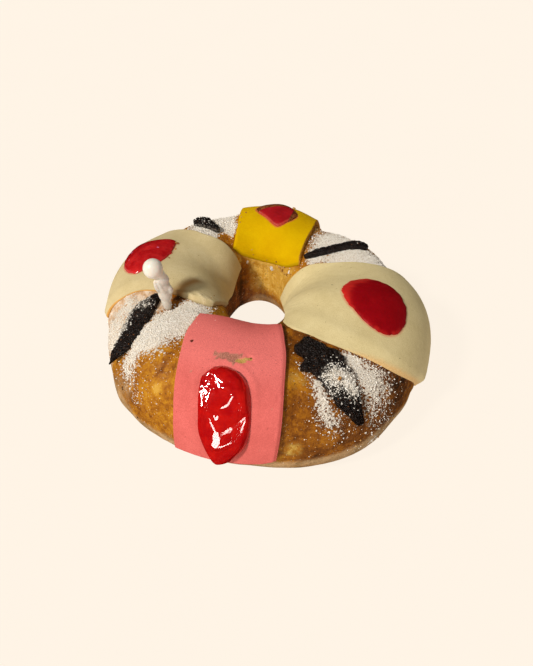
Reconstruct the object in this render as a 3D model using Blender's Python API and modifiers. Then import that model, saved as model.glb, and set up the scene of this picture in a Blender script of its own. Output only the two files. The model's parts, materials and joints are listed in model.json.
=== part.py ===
"""Rosca de reyes for one: a ring loaf with four paste crusts, fruit jelly, dark fruit strips and a doll.

The ring stands on z = 0. Places on it are given by theta, the angle round the ring from +X towards +Y,
and phi, the angle round the dough's section: 0 is the outer side, 90 the crest and 180 the hole's side.
Sizes in the tables are millimetres and degrees; the model is in metres.
"""

import math

import bpy
from mathutils import Matrix, Vector

MM = 0.001

# The ring's middle, set so that the origin is under the middle of the whole
RING_MIDDLE = (-4.55, 1.8)

# The loaf's section every 15 degrees round the ring
OUTER_RADII = (78.5, 74.6, 74.9, 75.0, 72.8, 74.8, 74.7, 74.6, 76.1, 73.9, 74.0, 72.9,
               71.3, 72.9, 74.1, 75.3, 75.2, 76.9, 78.6, 81.2, 83.4, 82.0, 81.4, 80.2)
HOLE_RADII = (14.6, 15.4, 17.2, 20.5, 25.5, 31.4, 34.7, 31.4, 25.0, 20.6, 18.0, 16.2,
              14.6, 13.2, 12.2, 12.4, 14.2, 17.2, 18.8, 18.6, 15.6, 14.2, 14.0, 14.2)
CREST_HEIGHTS = (47.4, 45.6, 46.5, 44.9, 43.8, 46.4, 45.7, 44.2, 45.4, 43.8, 45.9, 48.0,
                 48.4, 46.8, 46.4, 47.0, 48.3, 48.9, 49.3, 49.4, 49.9, 50.9, 51.7, 50.1)
WAIST_SHARE = 0.36
SECTION_POWER = 0.85
FOOT_DROP = 3.0

# Low waves in the dough: turns round the ring, turns round the section, phase, height
DOUGH_WAVES = ((5, 1, 0.6, 0.45), (9, 2, 2.1, 0.30), (3, 3, 4.0, 0.35))

RING_STEPS = 72
SECTION_STEPS = 28

# Sheets laid on the dough, each by its four edges as places of theta and phi: the low edge, the edge
# where theta ends, the high edge and the edge where theta begins, each running with theta or phi
CRUST_EDGES = {
    "crust_front": (
        ((243.6, -8), (260, -8), (275.9, 1)),
        ((275.9, 1), (278.6, 49), (281.7, 77), (288.6, 114)),
        ((224.2, 101.5), (240.7, 115), (262, 124), (288.6, 114)),
        ((243.6, -8), (242.8, 30), (237.7, 67), (229.3, 91), (224.2, 101.5)),
    ),
    "crust_right": (
        ((328, -3), (348, -8), (369, -2)),
        ((369, -2), (369.9, 65), (378.6, 97), (392.8, 125), (404, 168)),
        ((291, 124), (330, 153), (380, 167), (404, 168)),
        ((328, -3), (315.5, 41), (309.5, 69), (302, 90), (291.5, 109), (291, 124)),
    ),
    "crust_back": (
        ((62.5, 4), (78, 0), (95, 4)),
        ((95, 4), (96, 55), (101.4, 96), (111.1, 126)),
        ((42.6, 127.5), (65.6, 145.3), (83.6, 152), (111.1, 126)),
        ((62.5, 4), (61.4, 55), (53.2, 101.4), (42.6, 127.5)),
    ),
    "crust_left": (
        ((141, 8), (163, 6), (186, 19)),
        ((186, 19), (186.5, 50), (188.4, 77.8), (196, 96), (212.4, 110.5), (219.5, 119)),
        ((106, 153), (141.3, 162.9), (192, 151), (219.5, 119)),
        ((141, 8), (134, 60), (125.7, 93), (116.3, 118.7), (106, 153)),
    ),
}
CRUST_THICKNESS = {"crust_front": 2.4, "crust_right": 3.0, "crust_back": 2.8, "crust_left": 2.8}
CRUST_COLUMNS = {"crust_front": 11, "crust_right": 16, "crust_back": 11, "crust_left": 15}
CRUST_ROWS = 15
CRUST_RIM_SHARE = 0.45
CORNER_ROUNDING = {"crust_front": 0.01, "crust_right": 0.05, "crust_back": 0.04, "crust_left": 0.05}

# Dark fruit strips, by the same four edges
STRIP_EDGES = {
    "strip_front_left": (
        ((210.3, 22), (211.6, 23)),
        ((211.6, 23), (213.9, 50), (207.4, 76), (197.2, 87.5)),
        ((192.8, 85), (194.6, 87.5), (197.2, 87.5)),
        ((210.3, 22), (205.8, 43.6), (197.9, 63.2), (192.8, 85)),
    ),
    "strip_front_right": (
        ((298.7, 19.4), (301.2, 19.5)),
        ((301.2, 19.5), (302.4, 45.7), (302.9, 75), (297, 95)),
        ((286, 92.5), (291, 95), (297, 95)),
        ((298.7, 19.4), (294.5, 38.9), (289.5, 69), (287.1, 74), (288.6, 81), (286, 92.5)),
    ),
    "strip_back_right": (
        ((27.5, 60), (32, 57)),
        ((32, 57), (36.5, 82), (40.6, 96.5), (46, 118)),
        ((44.3, 118.4), (46, 118)),
        ((27.5, 60), (31.6, 87), (38.6, 109), (44.3, 118.4)),
    ),
    "strip_back_left": (
        ((117, 66), (122.5, 66)),
        ((122.5, 66), (123, 76), (118, 93)),
        ((113.5, 97.5), (116, 97.5), (118, 93)),
        ((117, 66), (115.2, 75), (113.5, 97.5)),
    ),
}
STRIP_THICKNESS = 2.0
STRIP_COLUMNS = 5
STRIP_ROWS = 14
STRIP_RIM_SHARE = 0.45
STRIP_ROUNDING = 0.12
STRIP_TIP_RISE = {"strip_front_left": 3.2}

# Fruit jelly: the crust that it lies on, its thickness, and places round its edge
JELLY_EDGES = {
    "jelly_front": ("crust_front", 4.2, ((268.8, 42), (265.6, 63), (257.5, 69), (251, 59), (251.9, 36),
                    (253.2, 14), (258.6, -5.5), (265.6, 12))),
    "jelly_right": ("crust_right", 1.6, ((349.9, 87), (342, 98.5), (330, 96), (320.6, 82), (320.8, 67),
                    (328, 57.3), (340, 59.5), (347.8, 74))),
    "jelly_back": ("crust_back", 1.2, ((90.5, 85), (85, 98), (77, 108.5), (72, 97), (69.2, 84), (73.5, 71),
                   (80, 58), (86, 71))),
    "jelly_left": ("crust_left", 1.8, ((176.7, 69), (170.5, 85), (157, 90), (144.5, 85), (148, 69),
                   (152.5, 51), (161.5, 46.5), (171.5, 55))),
}
JELLY_SEGMENTS = 22
JELLY_RINGS = 9

# Gaps under the sheets and under the jelly that keep neighbouring solids apart
SEAT_GAP = 0.55
JELLY_GAP = 0.4

# Plastic doll: where it is pushed in, and its head's place from there
DOLL_PLACE = (205.5, 92.0)
DOLL_HEAD = (-6.9, 0.5, 21.0)
DOLL_BELLY = (0.35, -1.0, 0.0)
DOLL_PIT_DEPTH = 4.2
DOLL_PIT_RADII = (1.2, 2.4)

# The doll's lumps along its body: middle, radii and lean. Those with a middle off the body come in pairs
DOLL_LUMPS = (
    ((0, 0, 21.9), (4.2, 4.2, 4.4), 0),
    ((0.1, 0, 17.7), (1.7, 1.7, 1.9), 0),
    ((0.1, 0, 13.6), (2.7, 2.3, 4.3), 0),
    ((0.1, 0, 8.4), (2.8, 2.3, 3.8), 0),
    ((2.4, 0.4, 14.2), (1.1, 1.2, 3.2), -14),
    ((1.6, 1.8, 11.9), (1.0, 1.1, 2.4), -50),
    ((0.8, 0, 4.6), (1.5, 1.5, 8.2), 5),
)


def rounded(share):
    """A sine or cosine made fuller, so that the section is a bun and not an ellipse."""
    return math.copysign(abs(share) ** SECTION_POWER, share)


def closed_curve(values, theta):
    """A smooth closed curve through values spaced evenly round the ring."""
    count = len(values)
    place = (theta % 360.0) * count / 360.0
    first = int(place) % count
    t = place - int(place)
    a, b, c, d = (values[(first + k) % count] for k in (-1, 0, 1, 2))
    bend = (2 * a - 5 * b + 4 * c - d) * t + (3 * b - a - 3 * c + d) * t * t
    return 0.5 * (2 * b + (c - a) * t + bend * t)


def curve_point(points, share):
    """The place at this share of the way along a smooth curve through places of theta and phi."""
    spans = [math.hypot(b[0] - a[0], (b[1] - a[1]) / 2) for a, b in zip(points, points[1:])]
    left = share * sum(spans)
    first = 0
    while first < len(spans) - 1 and left > spans[first]:
        left -= spans[first]
        first += 1
    t = left / spans[first]
    last = len(points) - 1
    a, b, c, d = (Vector(points[min(max(first + k, 0), last)]) for k in (-1, 0, 1, 2))
    bend = (2 * a - 5 * b + 4 * c - d) * t + (3 * b - a - 3 * c + d) * t * t
    return 0.5 * (2 * b + (c - a) * t + bend * t)


def sheet_place(edges, s, t):
    """The place of theta and phi at shares s and t of a sheet between its four edges."""
    low, end, high, begin = edges
    between_lows = curve_point(low, s) * (1 - t) + curve_point(high, s) * t
    between_sides = curve_point(begin, t) * (1 - s) + curve_point(end, t) * s
    lows = Vector(low[0]) * (1 - s) + Vector(low[-1]) * s
    highs = Vector(high[0]) * (1 - s) + Vector(high[-1]) * s
    return between_lows + between_sides - lows * (1 - t) - highs * t


def loaf_point(theta, phi):
    """A point of the loaf's skin, in metres."""
    turn, roll = math.radians(theta), math.radians(phi)
    across, up = rounded(math.cos(roll)), rounded(math.sin(roll))
    wave = sum(high * math.sin(m * turn + n * roll + shift) for m, n, shift, high in DOUGH_WAVES)
    outer = closed_curve(OUTER_RADII, theta)
    hole = closed_curve(HOLE_RADII, theta)
    crest = closed_curve(CREST_HEIGHTS, theta) + wave * max(up, 0.0)
    waist = WAIST_SHARE * crest
    height = waist + up * (crest - waist if up > 0 else waist + FOOT_DROP)
    radius = (outer + hole) / 2 + ((outer - hole) / 2 + wave * abs(across)) * across
    x = RING_MIDDLE[0] + radius * math.cos(turn)
    y = RING_MIDDLE[1] + radius * math.sin(turn)
    return Vector((x, y, max(height, 0.0))) * MM


def on_loaf(theta, phi, lift):
    """A point lifted off the loaf's skin along its normal, in metres, with lift in millimetres."""
    step = 0.6
    along = loaf_point(theta + step, phi) - loaf_point(theta - step, phi)
    around = loaf_point(theta, phi + step) - loaf_point(theta, phi - step)
    return loaf_point(theta, phi) + along.cross(around).normalized() * lift * MM


def linear_colour(red, green, blue):
    """A screen colour from 0 to 255 as Blender's linear colour."""
    shares = (value / 255 for value in (red, green, blue))
    return [s / 12.92 if s <= 0.04045 else ((s + 0.055) / 1.055) ** 2.4 for s in shares] + [1.0]


def make_material(name, colour, roughness):
    material = bpy.data.materials.new(name)
    material.use_nodes = True
    shader = material.node_tree.nodes["Principled BSDF"]
    shader.inputs["Base Color"].default_value = linear_colour(*colour)
    shader.inputs["Roughness"].default_value = roughness
    shader.inputs["Metallic"].default_value = 0.0
    return material


def take_active(name, collection, material):
    """Names the primitive that was just added and moves it into the rosca's collection."""
    thing = bpy.context.active_object
    thing.name = thing.data.name = name
    for home in list(thing.users_collection):
        home.objects.unlink(thing)
    collection.objects.link(thing)
    thing.data.materials.clear()
    thing.data.materials.append(material)
    return thing


def smooth(thing, angle=50):
    thing.data.shade_smooth()
    thing.data.set_sharp_from_angle(angle=math.radians(angle))


def make_loaf(collection, material):
    """The dough ring: a torus whose points are moved onto the loaf's skin."""
    bpy.ops.mesh.primitive_torus_add(major_segments=RING_STEPS, minor_segments=SECTION_STEPS,
                                     major_radius=1.0, minor_radius=0.4)
    loaf = take_active("loaf", collection, material)
    for vertex in loaf.data.vertices:
        x, y, z = vertex.co
        theta = math.degrees(math.atan2(y, x))
        phi = math.degrees(math.atan2(z, math.hypot(x, y) - 1.0))
        vertex.co = loaf_point(theta, phi)
    smooth(loaf)
    return loaf


def make_sheet(name, edges, cells, thickness, rim_share, rounding, collection, material, lift=None):
    """A sheet on the dough between four edges, thinner at its rim. Lift raises it at shares s and t."""
    bpy.ops.mesh.primitive_grid_add(x_subdivisions=cells[0], y_subdivisions=cells[1], size=2)
    sheet = take_active(name, collection, material)
    rim = sheet.vertex_groups.new(name="thickness")
    for vertex in sheet.data.vertices:
        a, b = vertex.co.x, vertex.co.y
        edge = max(abs(a), abs(b)) > 0.999
        rim.add([vertex.index], rim_share if edge else 1.0, "REPLACE")
        a, b = (math.copysign(abs(share) ** 0.85, share) for share in (a, b))
        a, b = a * (1 - rounding * b ** 4), b * (1 - rounding * a ** 4)
        s, t = (1 + a) / 2, (1 + b) / 2
        theta, phi = sheet_place(edges, s, t)
        vertex.co = on_loaf(theta, phi, SEAT_GAP + (lift(s, t) if lift else 0.0))
    solidify = sheet.modifiers.new("Thickness", "SOLIDIFY")
    solidify.thickness = thickness * MM
    solidify.offset = 1.0
    solidify.vertex_group = "thickness"
    smooth(sheet)
    return sheet


def make_crust(name, collection, material):
    """A sheet of sugar paste baked onto the dough."""
    cells = (CRUST_COLUMNS[name], CRUST_ROWS)
    make_sheet(name, CRUST_EDGES[name], cells, CRUST_THICKNESS[name], CRUST_RIM_SHARE,
               CORNER_ROUNDING[name], collection, material)


def make_strip(name, collection, material):
    """A dried fruit strip with a low ridge along it, and its tip off the dough where the photo shows that."""
    tip_rise = STRIP_TIP_RISE.get(name, 0.0)

    def lift(s, t):
        return 0.5 * math.sin(math.pi * s) * (1 + math.sin(9 * t)) + tip_rise * max(1 - 3 * t, 0.0) ** 2

    make_sheet(name, STRIP_EDGES[name], (STRIP_COLUMNS, STRIP_ROWS), STRIP_THICKNESS, STRIP_RIM_SHARE,
               STRIP_ROUNDING, collection, material, lift)


def make_jelly(name, collection, material):
    """A slab of fruit jelly: a ball flattened onto the crust inside its edge."""
    crust, thickness, edge = JELLY_EDGES[name]
    bpy.ops.mesh.primitive_uv_sphere_add(segments=JELLY_SEGMENTS, ring_count=JELLY_RINGS, radius=1)
    jelly = take_active(name, collection, material)
    seat = SEAT_GAP + CRUST_THICKNESS[crust] + JELLY_GAP
    middle = [sum(place[k] for place in edge) / len(edge) for k in (0, 1)]
    for vertex in jelly.data.vertices:
        x, y, z = vertex.co
        out = min(math.hypot(x, y), 1.0)
        bearing = math.degrees(math.atan2(y, x))
        theta, phi = (middle[k] + out * (closed_curve([place[k] for place in edge], bearing) - middle[k])
                      for k in (0, 1))
        vertex.co = on_loaf(theta, phi, seat + thickness * max(z, 0.0) ** 0.7)
    smooth(jelly)


def doll_frame():
    """The doll's own frame in millimetres: its foot on the dough, +Z up its body and +Y out of its belly."""
    up = Vector(DOLL_HEAD).normalized()
    side = Vector(DOLL_BELLY).cross(up).normalized()
    turn = Matrix((side, up.cross(side), up)).transposed().to_4x4()
    return Matrix.Translation(loaf_point(*DOLL_PLACE)) @ turn @ Matrix.Scale(MM, 4)


def make_doll(collection, material, cutters):
    """The white plastic baby: rounded lumps joined by one union."""
    lumps = bpy.data.collections.new("doll lumps")
    cutters.children.link(lumps)
    made = []
    for middle, radii, lean in DOLL_LUMPS:
        for sign in (1, -1) if middle[0] > 0.5 else (1,):
            segments, rings = (16, 10) if not made else (10, 7)
            bpy.ops.mesh.primitive_uv_sphere_add(segments=segments, ring_count=rings, radius=1)
            lump = take_active(f"doll_lump_{len(made)}", lumps, material)
            turn = Matrix.Rotation(math.radians(sign * lean), 4, "Y")
            place = Matrix.Translation((sign * middle[0], middle[1], middle[2]))
            lump.data.transform(doll_frame() @ place @ turn @ Matrix.Diagonal((*radii, 1.0)))
            made.append(lump)
    doll = made.pop(0)
    lumps.objects.unlink(doll)
    collection.objects.link(doll)
    doll.name = doll.data.name = "doll"
    union = doll.modifiers.new("Union", "BOOLEAN")
    union.operation = "UNION"
    union.operand_type = "COLLECTION"
    union.collection = lumps
    graph = bpy.context.evaluated_depsgraph_get()
    joined = bpy.data.meshes.new_from_object(doll.evaluated_get(graph))
    doll.modifiers.clear()
    doll.data = joined
    for lump in made:
        bpy.data.objects.remove(lump)
    smooth(doll, 60)


def cut_doll_pit(loaf, cutters):
    """The pit in the crumb that the doll's feet are pushed into."""
    depth = DOLL_PIT_DEPTH + 3.4
    bpy.ops.mesh.primitive_cone_add(vertices=18, radius1=DOLL_PIT_RADII[0], radius2=DOLL_PIT_RADII[1], depth=depth)
    pit = take_active("doll_pit", cutters, loaf.data.materials[0])
    pit.data.transform(doll_frame() @ Matrix.Translation((0, 0, depth / 2 - DOLL_PIT_DEPTH)))
    pit.hide_render = True
    pit.display_type = "WIRE"
    cut = loaf.modifiers.new("Pit", "BOOLEAN")
    cut.operation = "DIFFERENCE"
    cut.object = pit


def main():
    for thing in list(bpy.data.objects):
        bpy.data.objects.remove(thing)
    rosca = bpy.data.collections.new("rosca_de_reyes")
    cutters = bpy.data.collections.new("cutters")
    for collection in (rosca, cutters):
        bpy.context.scene.collection.children.link(collection)
    loaf = make_loaf(rosca, make_material("baked dough", (190, 124, 46), 0.45))
    make_crust("crust_front", rosca, make_material("pink paste", (240, 118, 108), 0.8))
    make_crust("crust_right", rosca, make_material("cream paste right", (217, 196, 141), 0.8))
    make_crust("crust_back", rosca, make_material("yellow paste", (229, 185, 10), 0.8))
    make_crust("crust_left", rosca, make_material("cream paste left", (208, 187, 134), 0.8))
    for name in JELLY_EDGES:
        make_jelly(name, rosca, make_material(f"red {name}", (172, 12, 20), 0.15))
    for name in STRIP_EDGES:
        make_strip(name, rosca, make_material(f"dark {name}", (30, 20, 16), 0.6))
    make_doll(rosca, make_material("white plastic", (240, 230, 218), 0.3), cutters)
    cut_doll_pit(loaf, cutters)


main()
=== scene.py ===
"""Looks for a rosca de reyes for one: a ring loaf with sugar, paste crusts, jelly, dark fruit and a doll.

Places on the ring are given by theta, the angle round it from +X towards +Y, and phi, the angle round the
dough's section: 0 is the outer side, 90 the crest and 180 the hole's side. The tables hold millimetres and
degrees, like the source of the solids; the meshes are in metres.
"""

import json
import math

import bmesh
import bpy
import numpy as np
from mathutils import Matrix, Vector
from mathutils.bvhtree import BVHTree
from mathutils.kdtree import KDTree

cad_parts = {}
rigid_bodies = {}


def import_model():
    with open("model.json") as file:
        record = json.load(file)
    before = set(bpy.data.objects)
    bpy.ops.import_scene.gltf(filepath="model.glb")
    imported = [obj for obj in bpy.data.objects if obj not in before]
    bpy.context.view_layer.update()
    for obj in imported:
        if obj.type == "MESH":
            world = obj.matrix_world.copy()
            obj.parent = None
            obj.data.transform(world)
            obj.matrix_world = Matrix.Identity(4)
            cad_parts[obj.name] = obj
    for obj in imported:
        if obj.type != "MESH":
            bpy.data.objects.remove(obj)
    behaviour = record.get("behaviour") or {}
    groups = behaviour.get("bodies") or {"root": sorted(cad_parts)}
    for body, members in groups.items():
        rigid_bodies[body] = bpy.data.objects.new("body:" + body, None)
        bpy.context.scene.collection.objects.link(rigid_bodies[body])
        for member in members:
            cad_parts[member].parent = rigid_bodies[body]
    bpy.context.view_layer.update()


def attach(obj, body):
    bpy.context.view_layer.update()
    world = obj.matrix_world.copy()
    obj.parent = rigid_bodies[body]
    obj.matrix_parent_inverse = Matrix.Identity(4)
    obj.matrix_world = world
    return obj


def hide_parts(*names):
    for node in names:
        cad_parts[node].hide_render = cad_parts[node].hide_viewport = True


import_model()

MM = 0.001

# The loaf's section every 15 degrees round the ring, as in the solids
RING_MIDDLE = (-4.55, 1.8)
OUTER_RADII = (78.5, 74.6, 74.9, 75.0, 72.8, 74.8, 74.7, 74.6, 76.1, 73.9, 74.0, 72.9,
               71.3, 72.9, 74.1, 75.3, 75.2, 76.9, 78.6, 81.2, 83.4, 82.0, 81.4, 80.2)
HOLE_RADII = (14.6, 15.4, 17.2, 20.5, 25.5, 31.4, 34.7, 31.4, 25.0, 20.6, 18.0, 16.2,
              14.6, 13.2, 12.2, 12.4, 14.2, 17.2, 18.8, 18.6, 15.6, 14.2, 14.0, 14.2)
CREST_HEIGHTS = (47.4, 45.6, 46.5, 44.9, 43.8, 46.4, 45.7, 44.2, 45.4, 43.8, 45.9, 48.0,
                 48.4, 46.8, 46.4, 47.0, 48.3, 48.9, 49.3, 49.4, 49.9, 50.9, 51.7, 50.1)
WAIST_SHARE = 0.36
SECTION_POWER = 0.85
FOOT_DROP = 3.0
DOUGH_WAVES = ((5, 1, 0.6, 0.45), (9, 2, 2.1, 0.30), (3, 3, 4.0, 0.35))

# Crusts and strips by their four edges: low, where theta ends, high, and where theta begins
CRUST_EDGES = {
    "crust_front": (
        ((243.6, -8), (260, -8), (275.9, 1)),
        ((275.9, 1), (278.6, 49), (281.7, 77), (288.6, 114)),
        ((224.2, 101.5), (240.7, 115), (262, 124), (288.6, 114)),
        ((243.6, -8), (242.8, 30), (237.7, 67), (229.3, 91), (224.2, 101.5)),
    ),
    "crust_right": (
        ((331.5, -3), (350, -8), (369, -2)),
        ((369, -2), (369.9, 65), (378.6, 97), (392.8, 125), (404, 168)),
        ((291, 124), (330, 153), (380, 167), (404, 168)),
        ((331.5, -3), (327, 8.5), (321, 25.5), (316.4, 40.5), (309.5, 65), (302, 86), (291.5, 108),
         (291, 124)),
    ),
    "crust_back": (
        ((62.5, 4), (78, 0), (95, 4)),
        ((95, 4), (96, 55), (101.4, 96), (111.1, 126)),
        ((42.6, 129), (58.1, 140.5), (74.9, 152.5), (89.2, 153), (101.6, 142.5), (111.1, 127)),
        ((62.5, 4), (61.4, 55), (53.2, 101.4), (42.6, 127.5)),
    ),
    "crust_left": (
        ((141, 8), (163, 6), (186, 19)),
        ((186, 19), (186.5, 50), (188.4, 77.8), (196, 96), (212.4, 110.5), (219.5, 119)),
        ((106, 153), (141.3, 162.9), (192, 151), (219.5, 119)),
        ((141, 8), (134, 60), (125.7, 93), (116.3, 118.7), (106, 153)),
    ),
}
CRUST_THICKNESS = {"crust_front": 2.4, "crust_right": 3.0, "crust_back": 2.8, "crust_left": 2.8}
CORNER_ROUNDING = {"crust_front": 0.01, "crust_right": 0.05, "crust_back": 0.04, "crust_left": 0.05}
SEAT_GAP = 0.55

STRIP_EDGES = {
    "strip_front_left": (
        ((210.3, 22), (211.6, 23)),
        ((211.6, 23), (213.9, 50), (207.4, 76), (197.2, 87.5)),
        ((192.8, 85), (194.6, 87.5), (197.2, 87.5)),
        ((210.3, 22), (205.8, 43.6), (197.9, 63.2), (192.8, 85)),
    ),
    "strip_front_right": (
        ((298.7, 19.4), (301.2, 19.5)),
        ((301.2, 19.5), (301.2, 31), (302.6, 47), (303.3, 62), (302.5, 77), (297, 95)),
        ((286, 91.5), (290, 91), (293.5, 92.5), (297, 95)),
        ((298.7, 19.4), (296.8, 29), (294.4, 39), (292.4, 54), (290.4, 67.5), (287.0, 70.5),
         (287.0, 74), (289.6, 80.5), (287.2, 86), (286, 91.5)),
    ),
    "strip_back_right": (
        ((27.5, 60), (32, 57)),
        ((32, 57), (36.5, 82), (40.6, 96.5), (46, 118)),
        ((44.3, 118.4), (46, 118)),
        ((27.5, 60), (31.6, 87), (38.6, 109), (44.3, 118.4)),
    ),
    "strip_back_left": (
        ((117, 66), (122.5, 66)),
        ((122.5, 66), (123, 76), (118, 93)),
        ((113.5, 97.5), (116, 97.5), (118, 93)),
        ((117, 66), (115.2, 75), (113.5, 97.5)),
    ),
}
STRIP_THICKNESS = 2.0
STRIP_GAP = 0.35
STRIP_ROUNDING = 0.12
STRIP_TIP_RISE = {"strip_front_left": 3.2}

# Jelly: the crust that it lies on and places round its edge
JELLY_EDGES = {
    "jelly_front": ("crust_front", ((268.6, 41), (266.4, 62.5), (258, 71), (251, 60), (251.9, 36),
                                    (253.2, 14), (258.6, -7.0), (266.8, 11))),
    "jelly_right": ("crust_right", ((352.3, 87), (345, 96.4), (335.4, 98.4), (327.6, 91), (323.4, 81),
                                    (322.2, 70.5), (324.0, 60), (330.2, 54.2), (340, 56.8), (348.6, 68))),
    "jelly_back": ("crust_back", ((90.5, 85), (85, 98), (77, 108.5), (72, 97), (69.2, 84), (73.5, 71),
                                  (80, 58), (86, 71))),
    "jelly_left": ("crust_left", ((176.7, 69), (170.5, 85), (157, 90), (144.5, 85), (148, 69),
                                  (152.5, 51), (161.5, 46.5), (171.5, 55))),
}

DOLL_PLACE = (205.5, 92.0)
DOLL_HEAD = (-6.9, 0.5, 21.0)
DOLL_BELLY = (0.35, -1.0, 0.0)


def rounded(share):
    """A sine or cosine made fuller, so that the section is a bun and not an ellipse."""
    return np.sign(share) * np.abs(share) ** SECTION_POWER


def spline(a, b, c, d, t):
    """The smooth curve from b to c that also follows a and d."""
    bend = (2 * a - 5 * b + 4 * c - d) * t + (3 * b - a - 3 * c + d) * t * t
    return 0.5 * (2 * b + (c - a) * t + bend * t)


def closed_curve(values, theta):
    values = np.asarray(values, float)
    count = len(values)
    place = (theta % 360.0) * count / 360.0
    first = np.floor(place).astype(int)
    a, b, c, d = (values[(first + k) % count] for k in (-1, 0, 1, 2))
    return spline(a, b, c, d, place - first)


def curve_point(points, share):
    """Places at shares of the way along a smooth curve through places of theta and phi."""
    points = np.asarray(points, float)
    spans = np.hypot(np.diff(points[:, 0]), np.diff(points[:, 1]) / 2)
    ends = np.concatenate(([0.0], np.cumsum(spans)))
    left = np.asarray(share, float) * ends[-1]
    first = np.clip(np.searchsorted(ends, left, side="right") - 1, 0, len(spans) - 1)
    t = ((left - ends[first]) / spans[first])[..., None]
    last = len(points) - 1
    a, b, c, d = (points[np.clip(first + k, 0, last)] for k in (-1, 0, 1, 2))
    return spline(a, b, c, d, t)


def sheet_place(edges, s, t):
    """Places of theta and phi at shares s and t of a sheet between its four edges."""
    low, end, high, begin = edges
    s1, t1 = s[..., None], t[..., None]
    between_lows = curve_point(low, s) * (1 - t1) + curve_point(high, s) * t1
    between_sides = curve_point(begin, t) * (1 - s1) + curve_point(end, t) * s1
    lows = np.array(low[0]) * (1 - s1) + np.array(low[-1]) * s1
    highs = np.array(high[0]) * (1 - s1) + np.array(high[-1]) * s1
    return between_lows + between_sides - lows * (1 - t1) - highs * t1


def loaf_point(theta, phi):
    """Points of the solid loaf's skin, in millimetres."""
    turn, roll = np.radians(theta), np.radians(phi)
    across, up = rounded(np.cos(roll)), rounded(np.sin(roll))
    wave = sum(high * np.sin(m * turn + n * roll + shift) for m, n, shift, high in DOUGH_WAVES)
    outer = closed_curve(OUTER_RADII, theta)
    hole = closed_curve(HOLE_RADII, theta)
    crest = closed_curve(CREST_HEIGHTS, theta) + wave * np.maximum(up, 0.0)
    waist = WAIST_SHARE * crest
    height = waist + up * np.where(up > 0, crest - waist, waist + FOOT_DROP)
    radius = (outer + hole) / 2 + ((outer - hole) / 2 + wave * np.abs(across)) * across
    x = RING_MIDDLE[0] + radius * np.cos(turn)
    y = RING_MIDDLE[1] + radius * np.sin(turn)
    return np.stack([x, y, np.maximum(height, 0.0)], -1)


def skin_normal(theta, phi):
    step = 0.6
    along = loaf_point(theta + step, phi) - loaf_point(theta - step, phi)
    around = loaf_point(theta, phi + step) - loaf_point(theta, phi - step)
    normal = np.cross(along, around)
    return normal / np.maximum(np.linalg.norm(normal, axis=-1, keepdims=True), 1e-9)


def on_loaf(theta, phi, lift):
    """Points lifted off the skin along its normal, in millimetres."""
    return loaf_point(theta, phi) + skin_normal(theta, phi) * np.asarray(lift)[..., None]


def step_up(value, low, high):
    """0 below low, 1 above high and smooth between."""
    t = np.clip((value - low) / (high - low), 0.0, 1.0)
    return t * t * (3 - 2 * t)


def lattice(x, y, z, seed):
    """A repeatable number from -1 to 1 for each corner of a lattice."""
    mixed = (x * 374761393 + y * 668265263 + z * 1440662683 + seed * 1274126177) & 0xFFFFFFFF
    mixed = ((mixed ^ (mixed >> 13)) * 1103515245) & 0xFFFFFFFF
    mixed = mixed ^ (mixed >> 16)
    return mixed / 2147483648.0 - 1.0


def noise(points, size, seed=0):
    """Smooth noise from -1 to 1 with lumps of this size in millimetres."""
    place = np.asarray(points, float) / size
    corner = np.floor(place).astype(np.int64)
    t = place - corner
    t = t * t * (3 - 2 * t)
    total = 0.0
    for dx in (0, 1):
        for dy in (0, 1):
            for dz in (0, 1):
                share = (np.where(dx, t[..., 0], 1 - t[..., 0]) * np.where(dy, t[..., 1], 1 - t[..., 1])
                         * np.where(dz, t[..., 2], 1 - t[..., 2]))
                total = total + share * lattice(corner[..., 0] + dx, corner[..., 1] + dy,
                                                corner[..., 2] + dz, seed)
    return total


def layered(points, size, seed=0, layers=3):
    """Noise with finer noise on it."""
    return sum(noise(points, size / 2 ** k, seed + k) / 2 ** k for k in range(layers)) / 1.75


def near(distance, reach):
    """1 at no distance and falling off smoothly over a reach."""
    return np.exp(-(distance / reach) ** 2)


def blob(theta, phi, middle, reach):
    """1 at the middle and falling off smoothly over a reach in theta and phi."""
    away = (theta - middle[0] + 180) % 360 - 180
    return np.exp(-(away / reach[0]) ** 2 - ((phi - middle[1]) / reach[1]) ** 2)


def blobs(theta, phi, table):
    """A sum of blobs, each a row of its theta, phi, reach in theta, reach in phi and strength."""
    return sum((row[4] * blob(theta, phi, row[:2], row[2:4]) for row in table), theta * 0.0)


# Millimetres on the skin for a degree of theta and for one of phi
SKIN_SCALE = (1.25, 0.5)


def laid_flat(theta, phi):
    """Places on the skin, laid out flat in millimetres."""
    return np.stack([theta * SKIN_SCALE[0], phi * SKIN_SCALE[1], theta * 0], -1)


def line_distance(theta, phi, line):
    """The distance in millimetres on the skin from each place to a line of places."""
    here = laid_flat(theta, phi)[..., :2]
    corners = np.array(line) * SKIN_SCALE
    found = np.full(theta.shape, 1e9)
    for a, b in zip(corners, corners[1:]):
        share = np.clip(((here - a) @ (b - a)) / ((b - a) @ (b - a)), 0, 1)
        found = np.minimum(found, np.linalg.norm(here - a - share[..., None] * (b - a), axis=-1))
    return found


def tree_of(points):
    tree = KDTree(len(points))
    for index, point in enumerate(points):
        tree.insert(point, index)
    tree.balance()
    return tree


def distances(tree, points):
    """The distance of each point from a tree's nearest point."""
    flat = points.reshape(-1, 3)
    found = np.array([tree.find(point)[2] for point in flat])
    return found.reshape(points.shape[:-1])


def crust_outline(edges):
    """Points along the four edges of a crust, on the skin."""
    share = np.linspace(0, 1, 160)
    places = np.concatenate([curve_point(edge, share) for edge in edges])
    return loaf_point(places[:, 0], places[:, 1])


def jelly_edge(name, bearings):
    """Theta and phi round the edge of a jelly, by bearing from its middle."""
    places = JELLY_EDGES[name][1]
    return [closed_curve([place[k] for place in places], bearings) for k in (0, 1)]


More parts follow.
